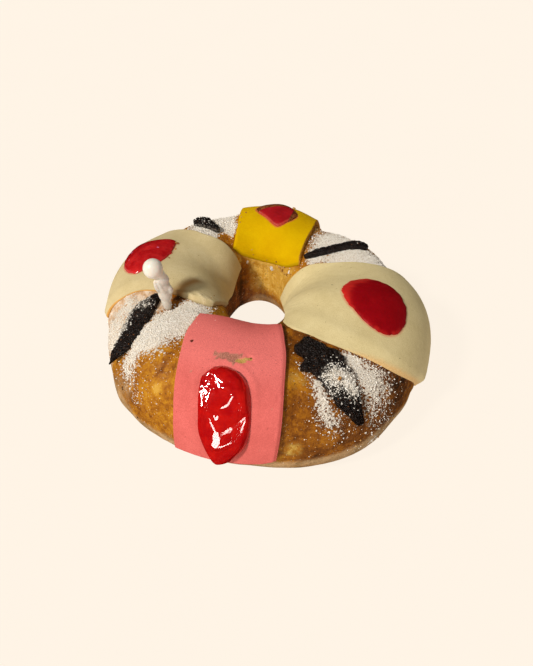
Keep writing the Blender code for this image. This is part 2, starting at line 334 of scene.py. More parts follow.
def from_jelly(name, points):
    """The distance of each point from the edge of a jelly."""
    edge = loaf_point(*jelly_edge(name, np.linspace(0, 360, 240, endpoint=False)))
    return distances(tree_of(edge), points)


ALL_CRUSTS = tree_of(np.concatenate([crust_outline(edges) for edges in CRUST_EDGES.values()]))

# Blobs of millimetres where the real loaf stands out or falls in, and its small pits
SHAPE_FIXES = (
    (201, 0, 6, 14, -1.2), (192, 12, 5, 12, -0.8), (214, -12, 5, 10, 0.7), (319, -12, 7, 14, -0.9),
    (332, -5, 6, 12, -1.3), (57, 54, 6, 14, -1.2), (118, 60, 5, 12, -0.9), (19, 40, 10, 14, -0.5),
)
DOUGH_PITS = (
    (232.4, 51.8, 1.2, 2.2, 0.5), (221.5, 12.0, 1.5, 2.5, 0.4), (285.0, 21.0, 2.0, 3.0, 0.35),
    (281.5, 9.0, 0.7, 3.4, 0.5),
)


def dough_relief(theta, phi, points, edge):
    """The baked dough's rise over the plain skin, in millimetres, with edge the distance from a crust."""
    rise = 0.30 * layered(points, 14.0, 3) + 0.07 * layered(points, 3.0, 11)
    rise += 0.85 * near(edge, 2.6) + blobs(theta, phi, SHAPE_FIXES)
    rise -= 1.6 * blob(theta, phi, DOLL_PLACE, (2.4, 4.0))
    rise -= blobs(theta, phi, DOUGH_PITS)
    under = step_up(-np.sin(np.radians(phi)), 0.55, 0.9)
    return rise * (1 - under)


def dough(theta, phi, lift=0.0):
    """Points on or over the baked dough, in millimetres."""
    flat = loaf_point(theta, phi)
    edge = distances(ALL_CRUSTS, flat)
    rise = dough_relief(theta, phi, flat, edge)
    return flat + skin_normal(theta, phi) * (rise + lift)[..., None], edge


def grid_faces(index):
    """Faces between the neighbours in a grid of point numbers, facing outwards."""
    return np.stack([index[:-1, :-1], index[1:, :-1], index[1:, 1:], index[:-1, 1:]], -1).reshape(-1, 4)


def mesh_of(name, shape):
    """A mesh from a bmesh that isn't needed after it."""
    mesh = bpy.data.meshes.new(name)
    shape.to_mesh(mesh)
    shape.free()
    return mesh


def add_object(name, data):
    made = bpy.data.objects.new(name, data)
    bpy.context.scene.collection.objects.link(made)
    return made


def make_piece(name, points, faces, material, node=None, marks=None):
    """A mesh piece from points in millimetres, with its marks kept as attributes for the material."""
    mesh = bpy.data.meshes.new(name)
    corners = faces.tolist() if isinstance(faces, np.ndarray) else faces
    mesh.from_pydata((np.asarray(points).reshape(-1, 3) * MM).tolist(), [], corners)
    mesh.validate()
    mesh.shade_smooth()
    for mark, values in (marks or {}).items():
        layer = mesh.attributes.new(mark, "FLOAT", "POINT")
        layer.data.foreach_set("value", np.asarray(values, np.float32).ravel())
    mesh.materials.append(material)
    piece = add_object(name, mesh)
    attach(piece, "root")
    if node:
        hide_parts(node)
    return piece


def colour(red, green, blue):
    """A screen colour from 0 to 255 as a linear one."""
    shares = (value / 255 for value in (red, green, blue))
    return [s / 12.92 if s <= 0.04045 else ((s + 0.055) / 1.055) ** 2.4 for s in shares] + [1.0]


class Paint:
    """A procedural material, with short calls for the nodes that it uses. Sizes are in millimetres."""

    def __init__(self, name):
        self.material = bpy.data.materials.new(name)
        self.material.use_nodes = True
        self.tree = self.material.node_tree
        self.shader = self.tree.nodes["Principled BSDF"]
        source = self.add("ShaderNodeTexCoord")
        self.place = self.add("ShaderNodeVectorMath", {"operation": "SCALE"},
                              {0: source.outputs["Object"], "Scale": 1 / MM}).outputs[0]
        self.base = None

    def add(self, kind, settings=None, inputs=None):
        node = self.tree.nodes.new(kind)
        for key, value in (settings or {}).items():
            setattr(node, key, value)
        for key, value in (inputs or {}).items():
            self.feed(node.inputs[key], value)
        return node

    def feed(self, socket, value):
        if isinstance(value, bpy.types.NodeSocket):
            self.tree.links.new(value, socket)
        else:
            socket.default_value = value

    def mark(self, name):
        return self.add("ShaderNodeAttribute", {"attribute_name": name}).outputs["Fac"]

    def noise(self, size, detail=2.0, roughness=0.5, distortion=0.0):
        inputs = {"Vector": self.place, "Scale": 1 / size, "Detail": detail, "Roughness": roughness,
                  "Distortion": distortion}
        return self.add("ShaderNodeTexNoise", None, inputs).outputs["Fac"]

    def sum(self, first, *more):
        """A sum of values, each given as a value or a pair of a value and its factor."""
        total = self.scaled(first)
        for value in more:
            inputs = {0: total, 1: self.scaled(value)}
            total = self.add("ShaderNodeMath", {"operation": "ADD"}, inputs).outputs[0]
        return total

    def scaled(self, value):
        """A value as it is, or the product of a pair."""
        if not isinstance(value, tuple):
            return value
        return self.add("ShaderNodeMath", {"operation": "MULTIPLY"}, dict(enumerate(value))).outputs[0]

    def span(self, value, low, high, to_low=0.0, to_high=1.0):
        inputs = {"Value": value, "From Min": low, "From Max": high, "To Min": to_low, "To Max": to_high}
        return self.add("ShaderNodeMapRange", {"interpolation_type": "SMOOTHSTEP"}, inputs).outputs["Result"]

    def ramp(self, value, *stops):
        node = self.add("ShaderNodeValToRGB", None, {"Fac": value})
        line = node.color_ramp
        while len(line.elements) < len(stops):
            line.elements.new(0.5)
        for element, (position, shade) in zip(line.elements, stops):
            element.position = position
            element.color = colour(*shade)
        return node.outputs["Color"]

    def over(self, factor, shade):
        """Lay a shade over the base, by a factor or a pair of a factor and its strength."""
        node = self.add("ShaderNodeMix", {"data_type": "RGBA"}, {0: self.scaled(factor), 6: self.base})
        self.feed(node.inputs[7], colour(*shade) if isinstance(shade, tuple) else shade)
        self.base = node.outputs[2]

    def layer(self, name, low, high, strength, shade, *ragged):
        """Lay a shade where a mark rises from low to high, its edge ragged by other values."""
        mark = self.sum(self.mark(name), *ragged, -sum(factor for _, factor in ragged) / 2)
        self.over((self.span(mark, low, high), strength), shade)

    def dots(self, size, detail, low, high, strength, shade):
        """Lay a shade where a fine noise rises from low to high."""
        self.over((self.span(self.noise(size, detail), low, high), strength), shade)

    def bump(self, height, depth):
        return self.add("ShaderNodeBump", None, {"Height": height, "Distance": depth * MM}).outputs["Normal"]

    def finish(self, roughness, normal, **fixed):
        for name, value in (("Base Color", self.base), ("Roughness", roughness), ("Normal", normal)):
            self.feed(self.shader.inputs[name], value)
        for name, value in fixed.items():
            self.shader.inputs[name.replace("_", " ")].default_value = value
        return self.material


# Drifts of sugar, as blobs with two strengths, and the columns of these: the grains and the film under them
GRAINS, FILM = 4, 5
SUGAR_DRIFTS = (
    (210, 112, 13, 12, 1.0, 1.1), (216, 94, 9.5, 14, 1.0, 1.1), (216, 76, 7, 14, 1.0, 1.1),
    (216, 60, 5, 12, 0.8, 0.9), (225, 88, 8, 12, 0.3, 0.36), (224, 66, 6, 12, 0.22, 0.3),
    (217, 40, 5.0, 12, 0.36, 0.5), (220, 28, 5.0, 10, 0.25, 0.36), (225, 15, 4.5, 9, 0.14, 0.2),
    (232, 84, 6, 16, 0.1, 0.15), (214, 14, 4, 16, 0.08, 0.1), (228, 40, 10, 30, 0.035, 0.03),
    (196, 46, 6.5, 18, 0.4, 0.6), (197, 22, 5.5, 14, 0.3, 0.5), (191, 62, 4, 8, 0.3, 0.5),
    (203, 30, 3, 12, 0.35, 0.5), (119, 86, 9, 26, 1.0, 1.0), (108, 96, 6, 18, 0.9, 0.9),
    (105, 70, 5, 20, 0.7, 0.7), (44, 82, 9, 26, 1.1, 1.2), (26, 82, 9, 22, 1.1, 1.2),
    (77.3, 157.7, 1.3, 2.6, 1.2, 1.4), (54, 141, 1.0, 2.2, 0.9, 1.1), (98.7, 150.7, 1.0, 2.2, 0.9, 1.0),
    (113, 107, 4.5, 13, -0.9, -1.0), (18, 55, 7, 20, 0.9, 1.0), (38, 108, 5, 10, 0.8, 0.9),
    (290.5, 52, 2.8, 20, 0.42, 0.66), (292.5, 29, 3.8, 10, 0.3, 0.48), (293, 14, 3.4, 8, 0.12, 0.12),
    (287, 76, 2.6, 8, 0.16, 0.25), (287, 36, 3.0, 20, 0.06, 0.07), (306, 68, 3.6, 11, 0.42, 0.66),
    (307, 50, 4.6, 15, 0.38, 0.56), (198, 97.5, 3.2, 4.6, -1.2, -1.4), (308, 32, 6.5, 16, 0.26, 0.32),
    (313, 42, 5.5, 22, 0.22, 0.22), (303, 22, 4, 12, 0.15, 0.2), (308, 4, 6, 9, 0.12, 0.15),
    (312, 16, 7, 12, 0.08, 0.08), (296, 12, 14, 16, 0.03, 0.0),
)
# The sugar on the strips, as blobs
STRIP_SUGAR = (
    (198.8, 64, 2.2, 5, 0.34), (201.4, 58, 2.2, 5, 0.36), (203.9, 51, 2.2, 5, 0.36),
    (206, 44, 2.2, 6, 0.32), (208, 34, 1.8, 7, 0.28), (297, 60, 5.5, 9, 0.74), (301, 48, 3, 8, 0.7),
    (293, 47, 3, 5, 0.3), (288.5, 80, 2, 3, 0.12), (299, 36, 2, 6, 0.15), (200.5, 76, 3.0, 7, 0.34),
    (196, 74, 2.0, 8, 0.34), (205.5, 50, 1.6, 14, 0.2), (299, 84, 2.4, 8, 0.08), (120, 82, 6, 18, 0.06),
    (33, 70, 4, 18, 0.03),
)


def sugar_depth(theta, phi, points, column=GRAINS):
    """How much sugar lies at each place, from 0 to about 1."""
    drift = blobs(theta, phi, [(*row[:4], row[column]) for row in SUGAR_DRIFTS])
    patchy = np.clip(drift, 0, 1.3) * (1 + 0.30 * layered(points, 5.0, 21))
    return np.clip(patchy, 0, 1.1)


def dough_material():
    paint = Paint("baked_dough")
    coarse = paint.noise(9.0, 3.0, 0.6, 0.6)
    middle = paint.noise(2.6, 4.0, 0.65, 0.4)
    fine = paint.noise(0.7, 2.0)
    brown = paint.sum(paint.mark("brown"), (coarse, 0.78), (middle, 1.0), (fine, 0.26), -1.02)
    paint.base = paint.ramp(brown, (0.02, (212, 164, 66)), (0.20, (193, 132, 24)), (0.42, (166, 102, 14)),
                            (0.64, (128, 71, 10)), (0.85, (92, 49, 10)), (1.0, (58, 32, 10)))
    golden = paint.ramp(middle, (0.35, (192, 134, 34)), (0.6, (226, 184, 88)))
    paint.layer("gold", 0.2, 0.9, 1, golden, (middle, 0.8), (coarse, 0.4))
    paint.layer("pale", 0.25, 0.8, 1, paint.ramp(coarse, (0.38, (200, 160, 114)), (0.62, (158, 124, 80))),
                (middle, 0.6))
    veiled = paint.ramp(middle, (0.38, (200, 158, 116)), (0.5, (222, 192, 162)), (0.62, (236, 218, 196)))
    paint.layer("veil", 0.2, 0.8, 0.9, veiled, (middle, 0.5))
    paint.layer("burnt", 0.4, 0.7, 1, (60, 34, 18), (middle, 0.7))
    paint.dots(0.9, 1.0, 0.66, 0.74, 0.7, (86, 50, 18))
    paint.dots(0.75, 1.0, 0.70, 0.76, 0.75, (232, 212, 178))
    crystal = paint.noise(0.42, 2.0, 0.7)
    clump = paint.noise(0.95, 2.0, 0.6)
    cover = paint.sum(paint.mark("sugar"), (clump, 1.7), (middle, 0.45), -1.075)
    film = paint.scaled((paint.span(cover, 0.34, 0.56), paint.span(paint.mark("sugar"), 0.02, 0.14)))
    paint.over(film, paint.ramp(crystal, (0.30, (204, 186, 162)), (0.44, (228, 215, 197)),
                                (0.60, (243, 234, 221))))
    rough = paint.span(film, 0.0, 1.0, 0.5, 0.85)
    relief = paint.sum((middle, 0.6), (fine, 0.45), (film, crystal))
    return paint.finish(rough, paint.bump(relief, 0.42), Coat_Weight=0.05, Coat_Roughness=0.2,
                        Specular_IOR_Level=0.16)


# Patches of the bread's colour: browner ones, with lighter ones below 0, then golden ones and burnt spots
# The browner patch at 198, 98 beside the doll's foot is darker crumbly bread and a painted shadow of the
# doll's legs
BROWN_PATCHES = (
    (234, 34, 2.4, 7, -0.3), (232.4, 53, 1.6, 5, 0.3), (236, 62, 6, 9, 0.08), (229, 30, 3, 16, -0.12),
    (226, 8, 5, 7, 0.1), (286.5, 16, 6, 10, -0.26), (279, 20, 3, 12, 0.14), (300, 16, 5, 7, 0.05),
    (318, 22, 5, 12, 0.18), (316, 48, 3, 10, 0.12), (226, 16, 16, 24, 0.14), (198, 98, 4.5, 5.5, 0.6),
)
GOLD_PATCHES = ((234, 34, 2.2, 6, 0.6), (284.5, 66, 5, 11, 0.45), (280.5, 8, 3.2, 8, 0.7))
PALE_PATCHES = ((309, -4, 9, 9, 0.7), (221, 16, 6, 14, 0.4), (293, -6, 16, 6, 0.5), (213, 2, 8, 20, 0.5))
BURNT_SPOTS = (
    (217.6, 9.9, 0.9, 2.6, 1.0), (226.4, -4.3, 0.8, 2.0, 1.0), (232.4, 51.8, 0.6, 1.4, 0.8),
    (321.4, 18.4, 0.5, 1.2, 1.0), (234.4, 64.1, 0.4, 0.9, 0.9), (284.9, 60.9, 0.35, 0.8, 0.9),
    (281.8, 41.5, 0.35, 0.9, 0.9), (286.9, 23.5, 0.4, 1.0, 0.9), (321, 22, 1.4, 3.0, 0.75),
    (296, 3, 2.5, 2.0, 0.4),
)


def loaf_marks(theta, phi, points, edge):
    """What the bread's paint goes by, with edge the distance from a crust."""
    back = (phi + 360) % 360
    inside = step_up(np.abs(back - 180), 70, 30)
    outside = step_up(np.cos(np.radians(phi)), 0.05, 0.3)
    streaks = noise(np.stack([theta * 0.9, phi * 0.06, phi * 0], -1), 2.2, 8)
    # Painted shade on the left part of the hole's wall: browner and less golden
    hole_wall_shade = step_up(theta, 88, 106) * (1 - step_up(theta, 235, 250)) * step_up(back, 130, 165) * inside
    right = step_up(theta, 275, 282) * (1 - step_up(theta, 326, 334)) * step_up(phi, -20, 8)
    brown = 0.36 + 0.12 * layered(points, 22.0, 5) + blobs(theta, phi, BROWN_PATCHES) + 0.54 * hole_wall_shade
    brown += 0.34 * right * (1 - 0.95 * blob(theta, phi, (282, 64), (7, 18)))
    brown += inside * (0.20 * streaks - 0.06) + 0.22 * step_up(back, 186, 205) * inside
    left = step_up(theta, 180, 184) * (1 - step_up(theta, 203, 209))
    veil = left * step_up(phi, 0, 12) * (1 - step_up(phi, 84, 92))
    rear = inside * step_up(np.cos(np.radians(theta - 84)), 0.55, 0.9) * (1 - step_up(back, 176, 196))
    gold = rear * (0.75 + 0.35 * streaks) + blobs(theta, phi, GOLD_PATCHES)
    gold += 0.5 * near(edge, 1.1) * step_up(np.cos(np.radians(theta - 240)), 0.8, 0.95)
    gold += 0.9 * near(edge, 0.5) * veil
    # Less gold beside the doll's foot, where its legs' painted shadow falls, and in the painted shade of the
    # hole's wall
    gold *= (1 - 0.9 * blob(theta, phi, (198, 97.5), (5, 6))) * (1 - 0.9 * hole_wall_shade)
    pale = step_up(-phi, -6, 14) * outside * (1 - 0.5 * blob(theta, phi, (285, 0), (12, 40)))
    pale += 0.6 * step_up(back, 186, 202) * inside * (1 - 0.7 * hole_wall_shade) + blobs(theta, phi, PALE_PATCHES)
    burnt = blobs(theta, phi, BURNT_SPOTS) + 0.55 * step_up(-np.sin(np.radians(phi)), 0.75, 0.95)
    film = sugar_depth(theta, phi, points, FILM) + 0.7 * blob(theta, phi, (305.5, -7), (2.6, 5))
    return {"brown": brown, "gold": gold, "pale": pale, "burnt": burnt, "veil": veil,
            "sugar": film * step_up(edge, 0.0, 1.0) * step_up(phi, -24, 2)}


# Steps of the loaf's mesh round the ring and round its section
LOAF_STEPS = (520, 180)


def make_loaf():
    """The baked ring, as a fine grid. Its points and faces are returned for the sugar to fall on."""
    angles = [np.linspace(start, start + 360, steps, endpoint=False)
              for start, steps in zip((0, -180), LOAF_STEPS)]
    theta, phi = np.meshgrid(*angles, indexing="ij")
    points, edge = dough(theta, phi)
    points[..., 2] = np.maximum(points[..., 2], 0.0)
    index = np.pad(np.arange(theta.size).reshape(LOAF_STEPS), ((0, 1), (0, 1)), mode="wrap")
    faces = grid_faces(index)
    make_piece("loaf_dough", points, faces, dough_material(), "loaf",
               loaf_marks(theta, phi, points, edge))
    return points.reshape(-1, 3), faces


def rim_shares(length, fine, cell):
    """Shares across a sheet of this length, close together at both ends."""
    start = np.array([0.0, 0.06, 0.18, 0.38, 0.65, 1.0]) * fine
    count = max(int((length - 2 * fine) / cell), 2)
    middle = np.linspace(fine, length - fine, count + 1)[1:-1]
    return np.concatenate([start, middle, length - start[::-1]]) / length


class Sheet:
    """A sheet on the dough: its shares s and t, its places and the distance of each from the rim."""

    def __init__(self, edges, rounding, fine, cell):
        self.edges = edges
        self.rounding = rounding
        coarse = np.linspace(0, 1, 60)
        along, across = np.meshgrid(coarse, coarse, indexing="ij")
        trial = self.skin(along, across)
        wide = np.linalg.norm(np.diff(trial, axis=0), axis=-1).sum(0)
        long = np.linalg.norm(np.diff(trial, axis=1), axis=-1).sum(1)
        s, t = rim_shares(wide.max(), fine, cell), rim_shares(long.max(), fine, cell)
        self.s, self.t = np.meshgrid(s, t, indexing="ij")
        self.theta, self.phi = self.places(self.s, self.t)
        here_wide = np.interp(self.t, coarse, wide)
        here_long = np.interp(self.s, coarse, long)
        self.sides = np.stack([self.t * here_long, (1 - self.s) * here_wide,
                               (1 - self.t) * here_long, self.s * here_wide])
        self.edge = self.sides.min(0)

    def places(self, s, t):
        a, b = 2 * s - 1, 2 * t - 1
        a, b = a * (1 - self.rounding * b ** 4), b * (1 - self.rounding * a ** 4)
        place = sheet_place(self.edges, (1 + a) / 2, (1 + b) / 2)
        return place[..., 0], place[..., 1]

    def skin(self, s, t):
        return loaf_point(*self.places(s, t))

    def close(self, low, high):
        """Points and faces of the closed sheet between a low and a high grid that meet at the rim."""
        rows, columns = self.s.shape
        top = np.arange(rows * columns).reshape(rows, columns)
        under = top.copy()
        count = (rows - 2) * (columns - 2)
        under[1:-1, 1:-1] = rows * columns + np.arange(count).reshape(rows - 2, columns - 2)
        points = np.concatenate([high.reshape(-1, 3), low[1:-1, 1:-1].reshape(-1, 3)])
        faces = np.concatenate([grid_faces(top), grid_faces(under)[:, ::-1]])
        return points, faces

    def both(self, values):
        """Values for the top's points and then for those underneath."""
        return np.concatenate([values.ravel(), values[1:-1, 1:-1].ravel()])


def rim_profile(edge, radius):
    """A quarter circle from 0 at the rim to 1 at this distance from it."""
    x = np.clip(edge / radius, 0, 1)
    return np.sqrt(np.clip(1 - (1 - x) ** 2, 0, 1))


# Width of the fine rim and size of the cells of a sheet's mesh, in millimetres
CRUST_MESH = (2.2, 0.62)
STRIP_MESH = (0.9, 0.34)
# The gap under a crust and under a jelly
CLEARANCE = 0.05


def make_crust(name, paste, paint_marks, radius, marks, relief, thin):
    """A sheet of paste lying on the dough, with a rounded rim."""
    sheet = Sheet(CRUST_EDGES[name], CORNER_ROUNDING[name], *CRUST_MESH)
    low, _ = dough(sheet.theta, sheet.phi, CLEARANCE)
    flat = loaf_point(sheet.theta, sheet.phi)
    normal = skin_normal(sheet.theta, sheet.phi)
    under = ((low - flat) * normal).sum(-1)
    full = SEAT_GAP + CRUST_THICKNESS[name] + 0.10 * layered(flat, 16.0, 31) + 0.03 * layered(flat, 3.0, 33)
    if relief:
        full = full + relief(sheet, flat)
    if thin:
        full = full * thin(sheet)
    reach = radius(sheet) if callable(radius) else radius
    lift = under + (np.maximum(full, under + 0.3) - under) * rim_profile(sheet.edge, reach)
    points, faces = sheet.close(low, flat + normal * lift[..., None])
    found = {key: sheet.both(values) for key, values in marks(sheet, flat).items()}
    make_piece(name + "_paste", points, faces, paste_material(paste, paint_marks), name, found)


# Three shades of each paste, the strength of its grain, its roughness and its shine
PASTE_LOOKS = {
    "pink_paste": (((206, 96, 89), (221, 107, 100), (235, 121, 115)), 0.15, 0.8, 0.12),
    "cream_paste": (((210, 190, 138), (222, 203, 152), (231, 214, 166)), 0.07, 0.8, 0.12),
    "yellow_paste": (((208, 160, 1), (217, 173, 2), (224, 183, 4)), 0.05, 0.85, 0.03),
    "tan_paste": (((200, 179, 130), (212, 192, 145), (222, 206, 163)), 0.07, 0.8, 0.12),
}


def paste_material(name, paint_marks):
    """Matte sugar paste with a fine grain, and its marks painted over its colour."""
    shades, grain, roughness, shine = PASTE_LOOKS[name]
    paint = Paint(name)
    broad = paint.noise(14.0, 3.0)
    middle = paint.noise(2.4, 3.0, 0.6)
    fine = paint.noise(0.45, 2.0, 0.6)
    tone = paint.sum((broad, 0.55), (middle, 0.30), (fine, grain * 6), -0.05 - grain * 3)
    paint.base = paint.ramp(tone, *zip((0.2, 0.45, 0.7), shades))
    paint_marks(paint, middle, fine)
    relief = paint.sum((middle, 0.35), (fine, 0.55))
    return paint.finish(roughness, paint.bump(relief, 0.26), Specular_IOR_Level=shine)


def pink_marks(sheet, flat):
    theta, phi = sheet.theta, sheet.phi
    end = sheet.sides[1]
    ragged = 0.40 * noise(flat, 1.5, 35) + 0.35 * noise(flat, 0.8, 36)
    worn = blobs(theta, phi, ((253.6, 78.0, 3.4, 4.0, 0.9), (258.4, 79.2, 3.2, 4.2, 1.0),
                              (262.4, 77.6, 2.6, 4.4, 0.9)))
    bare = blobs(theta, phi, ((262.6, 76.6, 1.6, 3.2, 0.9), (264.8, 77.4, 1.9, 2.6, 0.9),
                              (267.4, 79.6, 1.6, 2.0, 1.0)))
    pit = blobs(theta, phi, ((267.6, 80.6, 0.9, 0.9, 1.0), (262.6, 79.8, 0.5, 0.6, 0.8)))
    return {"worn": worn + ragged, "bare": bare + 0.6 * ragged, "pit": pit + 0.3 * ragged,
            "speck": blobs(theta, phi, ((238.7, 80.5, 0.9, 1.2, 1.4), (258.5, 86.5, 0.5, 0.8, 0.8),
                                        (270, 103, 0.4, 0.6, 0.8), (256.5, 83.2, 0.35, 0.5, 0.8))),
            # line: painted shade in the groove along the right edge and at the edge itself
            "line": near(end - 1.5, 0.38) + near(end, 0.35),
            "side": 1 - step_up(np.minimum(end, sheet.sides[0] + 0.5), 0.9, 1.6),
            # upper: painted light, the pink lighter from halfway up, fading again towards the top by the
            # hole
            "upper": step_up(phi, 50, 78) * (1 - 0.9 * step_up(phi, 92, 112))}


def pink_relief(sheet, flat):
    away = from_jelly("jelly_front", flat)
    theta, phi = sheet.theta, sheet.phi
    upper = step_up(phi, 30, 60)
    ring = 0.35 * upper * near(away - 2.4, 1.1) - 0.3 * near(away, 1.0)
    crease = -0.35 * np.exp(-((theta - 267.2 + (phi - 80) * 0.45) / 0.7) ** 2 - ((phi - 80) / 5) ** 2)
    worn = blobs(theta, phi, ((261, 77.5, 7, 3, -0.35), (267.6, 80.4, 1, 1, -0.8)))
    groove = -0.45 * near(sheet.sides[1] - 1.5, 0.5)
    return ring + crease + worn + groove + 0.05 * noise(flat, 0.9, 37)


def paint_pink(paint, middle, fine):
    # Painted light: the upper pink lighter
    paint.over((paint.mark("upper"), 0.85),
               paint.ramp(fine, (0.3, (226, 112, 106)), (0.7, (250, 132, 124))))
    paint.layer("worn", 0.45, 0.75, 0.85,
                paint.ramp(fine, (0.38, (124, 88, 68)), (0.60, (196, 134, 112))), (fine, 0.9))
    paint.layer("bare", 0.5, 0.8, 1,
                paint.ramp(fine, (0.4, (176, 128, 60)), (0.6, (214, 178, 104))), (fine, 0.7))
    paint.layer("pit", 0.5, 0.75, 1, (92, 58, 26), (fine, 0.4))
    paint.layer("speck", 0.45, 0.7, 1, (104, 48, 36), (fine, 0.4))
    paint.dots(0.9, 0.0, 0.80, 0.83, 0.6, (170, 76, 70))
    paint.over((paint.mark("side"), 0.45), (206, 96, 84))
    # Painted shade in the groove along the right edge and at the edge
    paint.over((paint.mark("line"), 0.65), (146, 58, 50))


def cream_radius(sheet):
    """The right crust's rim: soft and wide low on the front edge, tighter higher up."""
    front = (sheet.sides[3] < sheet.sides[1]) & (sheet.sides[3] < sheet.sides[2])
    wide = 1.4 + 3.2 * step_up(-sheet.phi, -62, -18)
    return np.where(front, wide, 1.6)


def cream_marks(sheet, flat):
    theta, phi = sheet.theta, sheet.phi
    begin = sheet.sides[3]
    left = step_up(-((theta - 335 + 180) % 360 - 180), -6, 10)
    return {"tan": near(begin, 4.2) * step_up(-phi, -84, -40) + 0.25 * near(begin, 1.2),
            "bleed": near(from_jelly("jelly_right", flat), 1.1) * (0.35 + 0.65 * left),
            "speck": blobs(theta, phi, ((340.7, 106.1, 0.5, 0.8, 1.4), (321.5, 41.9, 0.3, 0.5, 0.9),
                                        (323.7, 30.5, 0.3, 0.5, 0.9)))}


def cream_relief(sheet, flat):
    theta, phi = sheet.theta, sheet.phi
    wrinkle = np.sin(theta * 0.85 + phi * 0.35 + 2.0 * noise(flat, 9.0, 41))
    near_hole = step_up(phi, 108, 128)
    return 0.035 * wrinkle * near_hole + 0.03 * noise(flat, 1.2, 43)


def thin_right(sheet):
    """The right crust thins towards its front edge, where it is baked into the dough."""
    front = 1 - step_up(sheet.sides[3], 0.0, 9.0)
    return 1 - front * (0.55 - 0.25 * step_up(-sheet.phi, -60, -20) + 0.45 * step_up(-sheet.phi, -20, -4))


def thin_left(sheet):
    front = 1 - step_up(sheet.sides[1], 0.0, 9.0)
    low = step_up(-sheet.phi, -96, -86)
    return 1 - front * low * (0.72 - 0.3 * step_up(-sheet.phi, -60, -25))


def paint_cream(paint, middle, fine):
    paint.layer("tan", 0.15, 0.9, 0.8,
                paint.ramp(fine, (0.4, (220, 170, 106)), (0.6, (232, 194, 134))), (middle, 0.4))
    paint.layer("bleed", 0.2, 1.0, 0.6, (214, 110, 84), (fine, 0.5))
    paint.dots(0.8, 0.0, 0.81, 0.84, 0.5, (150, 122, 74))
    paint.layer("speck", 0.35, 0.7, 1, (96, 70, 44))


def yellow_marks(sheet, flat):
    return {"bleed": near(from_jelly("jelly_back", flat), 0.8),
            "burnt": blob(sheet.theta, sheet.phi, (81, 60), (13, 9)),
            "deep": 1 - step_up(sheet.sides[2], 1.5, 2.3),
            "wall": near(sheet.sides[3], 1.3)}


def thin_back(sheet):
    return 1 - 0.55 * (1 - step_up(sheet.sides[2], 0.0, 7.0))


def paint_yellow(paint, middle, fine):
    paint.over((paint.mark("deep"), 0.75), (178, 142, 8))
    paint.layer("wall", 0.25, 0.8, 0.9,
                paint.ramp(fine, (0.4, (120, 70, 24)), (0.6, (196, 130, 52))), (fine, 0.6))
    paint.layer("burnt", 0.35, 0.75, 1, (150, 84, 36), (middle, 0.4))
    paint.layer("bleed", 0.3, 0.9, 0.75, (206, 84, 60), (fine, 0.4))


# A painted shadow of the doll on the left crust, along a line of places
DOLL_SHADOW_LINE = ((198.5, 100.5), (193.5, 101.2), (189.6, 104.0), (186.6, 108.0), (182.9, 114.4))


def tan_marks(sheet, flat):
    theta, phi = sheet.theta, sheet.phi
    beside = near(line_distance(theta, phi, DOLL_SHADOW_LINE), 2.6)
    return {"bleed": near(from_jelly("jelly_left", flat), 0.8),
            "speck": blobs(theta, phi, ((162.4, 90.5, 1.0, 1.0, 1.2), (155.9, 90.0, 0.9, 0.9, 1.2),
                                        (150.7, 89.6, 1.0, 0.9, 1.2), (145.0, 87, 1.4, 2.4, 1.2))),
            "baked": near(sheet.sides[1], 1.3) * step_up(-phi, -92, -84),
            # shade is a painted shadow of the doll, and foot a darker painted shadow of its legs beside its
            # foot
            "shade": beside * step_up(theta, 172, 184),
            "foot": blob(theta, phi, (198, 96), (5, 3.8)),
            # lobe: lighter fibres of pulled paste, and painted light where the lobe faces the light
            "lobe": blob(theta, phi, (209, 114), (12, 10)) * (0.6 + 0.7 * tan_streaks(flat)),
            # inner: painted shade on the slope towards the hole
            "inner": step_up(phi, 112, 150)}


def tan_streaks(flat):
    """Fibres of the paste where it was pulled over the sugar."""
    x, y, z = (flat[..., k] for k in range(3))
    across = np.stack([x + y, z * 1.2, (x - y) * 0.12], -1)
    return noise(across, 1.2, 47) + 0.6 * noise(across, 0.6, 48)


def tan_relief(sheet, flat):
    theta, phi = sheet.theta, sheet.phi
    lobe = blob(theta, phi, (208, 113), (12, 12))
    return 0.9 * lobe + 0.5 * lobe * tan_streaks(flat) - 0.5 * blob(theta, phi, (189, 108), (6, 10))


def paint_tan(paint, middle, fine):
    # Painted shade on the slope towards the hole
    paint.over((paint.mark("inner"), 0.3), (186, 156, 102))
    # The lobe painted lighter: fibres of the paste and painted light
    paint.layer("lobe", 0.2, 0.9, 0.7,
                paint.ramp(fine, (0.35, (214, 188, 136)), (0.65, (240, 224, 184))), (fine, 0.3))
    paint.layer("baked", 0.2, 0.8, 0.85, (214, 150, 62), (middle, 0.5))
    # Painted shadow of the doll, and beside its foot the darker painted shadow of its legs
    paint.over((paint.mark("shade"), 0.85), (165, 114, 54))
    paint.over((paint.mark("foot"), 0.85), (116, 78, 36))
    paint.layer("speck", 0.5, 0.75, 1, (150, 92, 54), (fine, 0.8))
    paint.layer("bleed", 0.35, 0.9, 0.6, (200, 120, 90), (fine, 0.4))
    paint.dots(0.8, 0.0, 0.81, 0.84, 0.5, (150, 122, 74))


# Each crust: its paste, how its marks are painted, the radius of its rim, its marks, relief and thinning
CRUSTS = (
    ("crust_front", "pink_paste", paint_pink, 0.9, pink_marks, pink_relief, None),
    ("crust_right", "cream_paste", paint_cream, cream_radius, cream_marks, cream_relief, thin_right),
    ("crust_back", "yellow_paste", paint_yellow, 1.3, yellow_marks, None, thin_back),
    ("crust_left", "tan_paste", paint_tan, 1.3, tan_marks, tan_relief, thin_left),
)


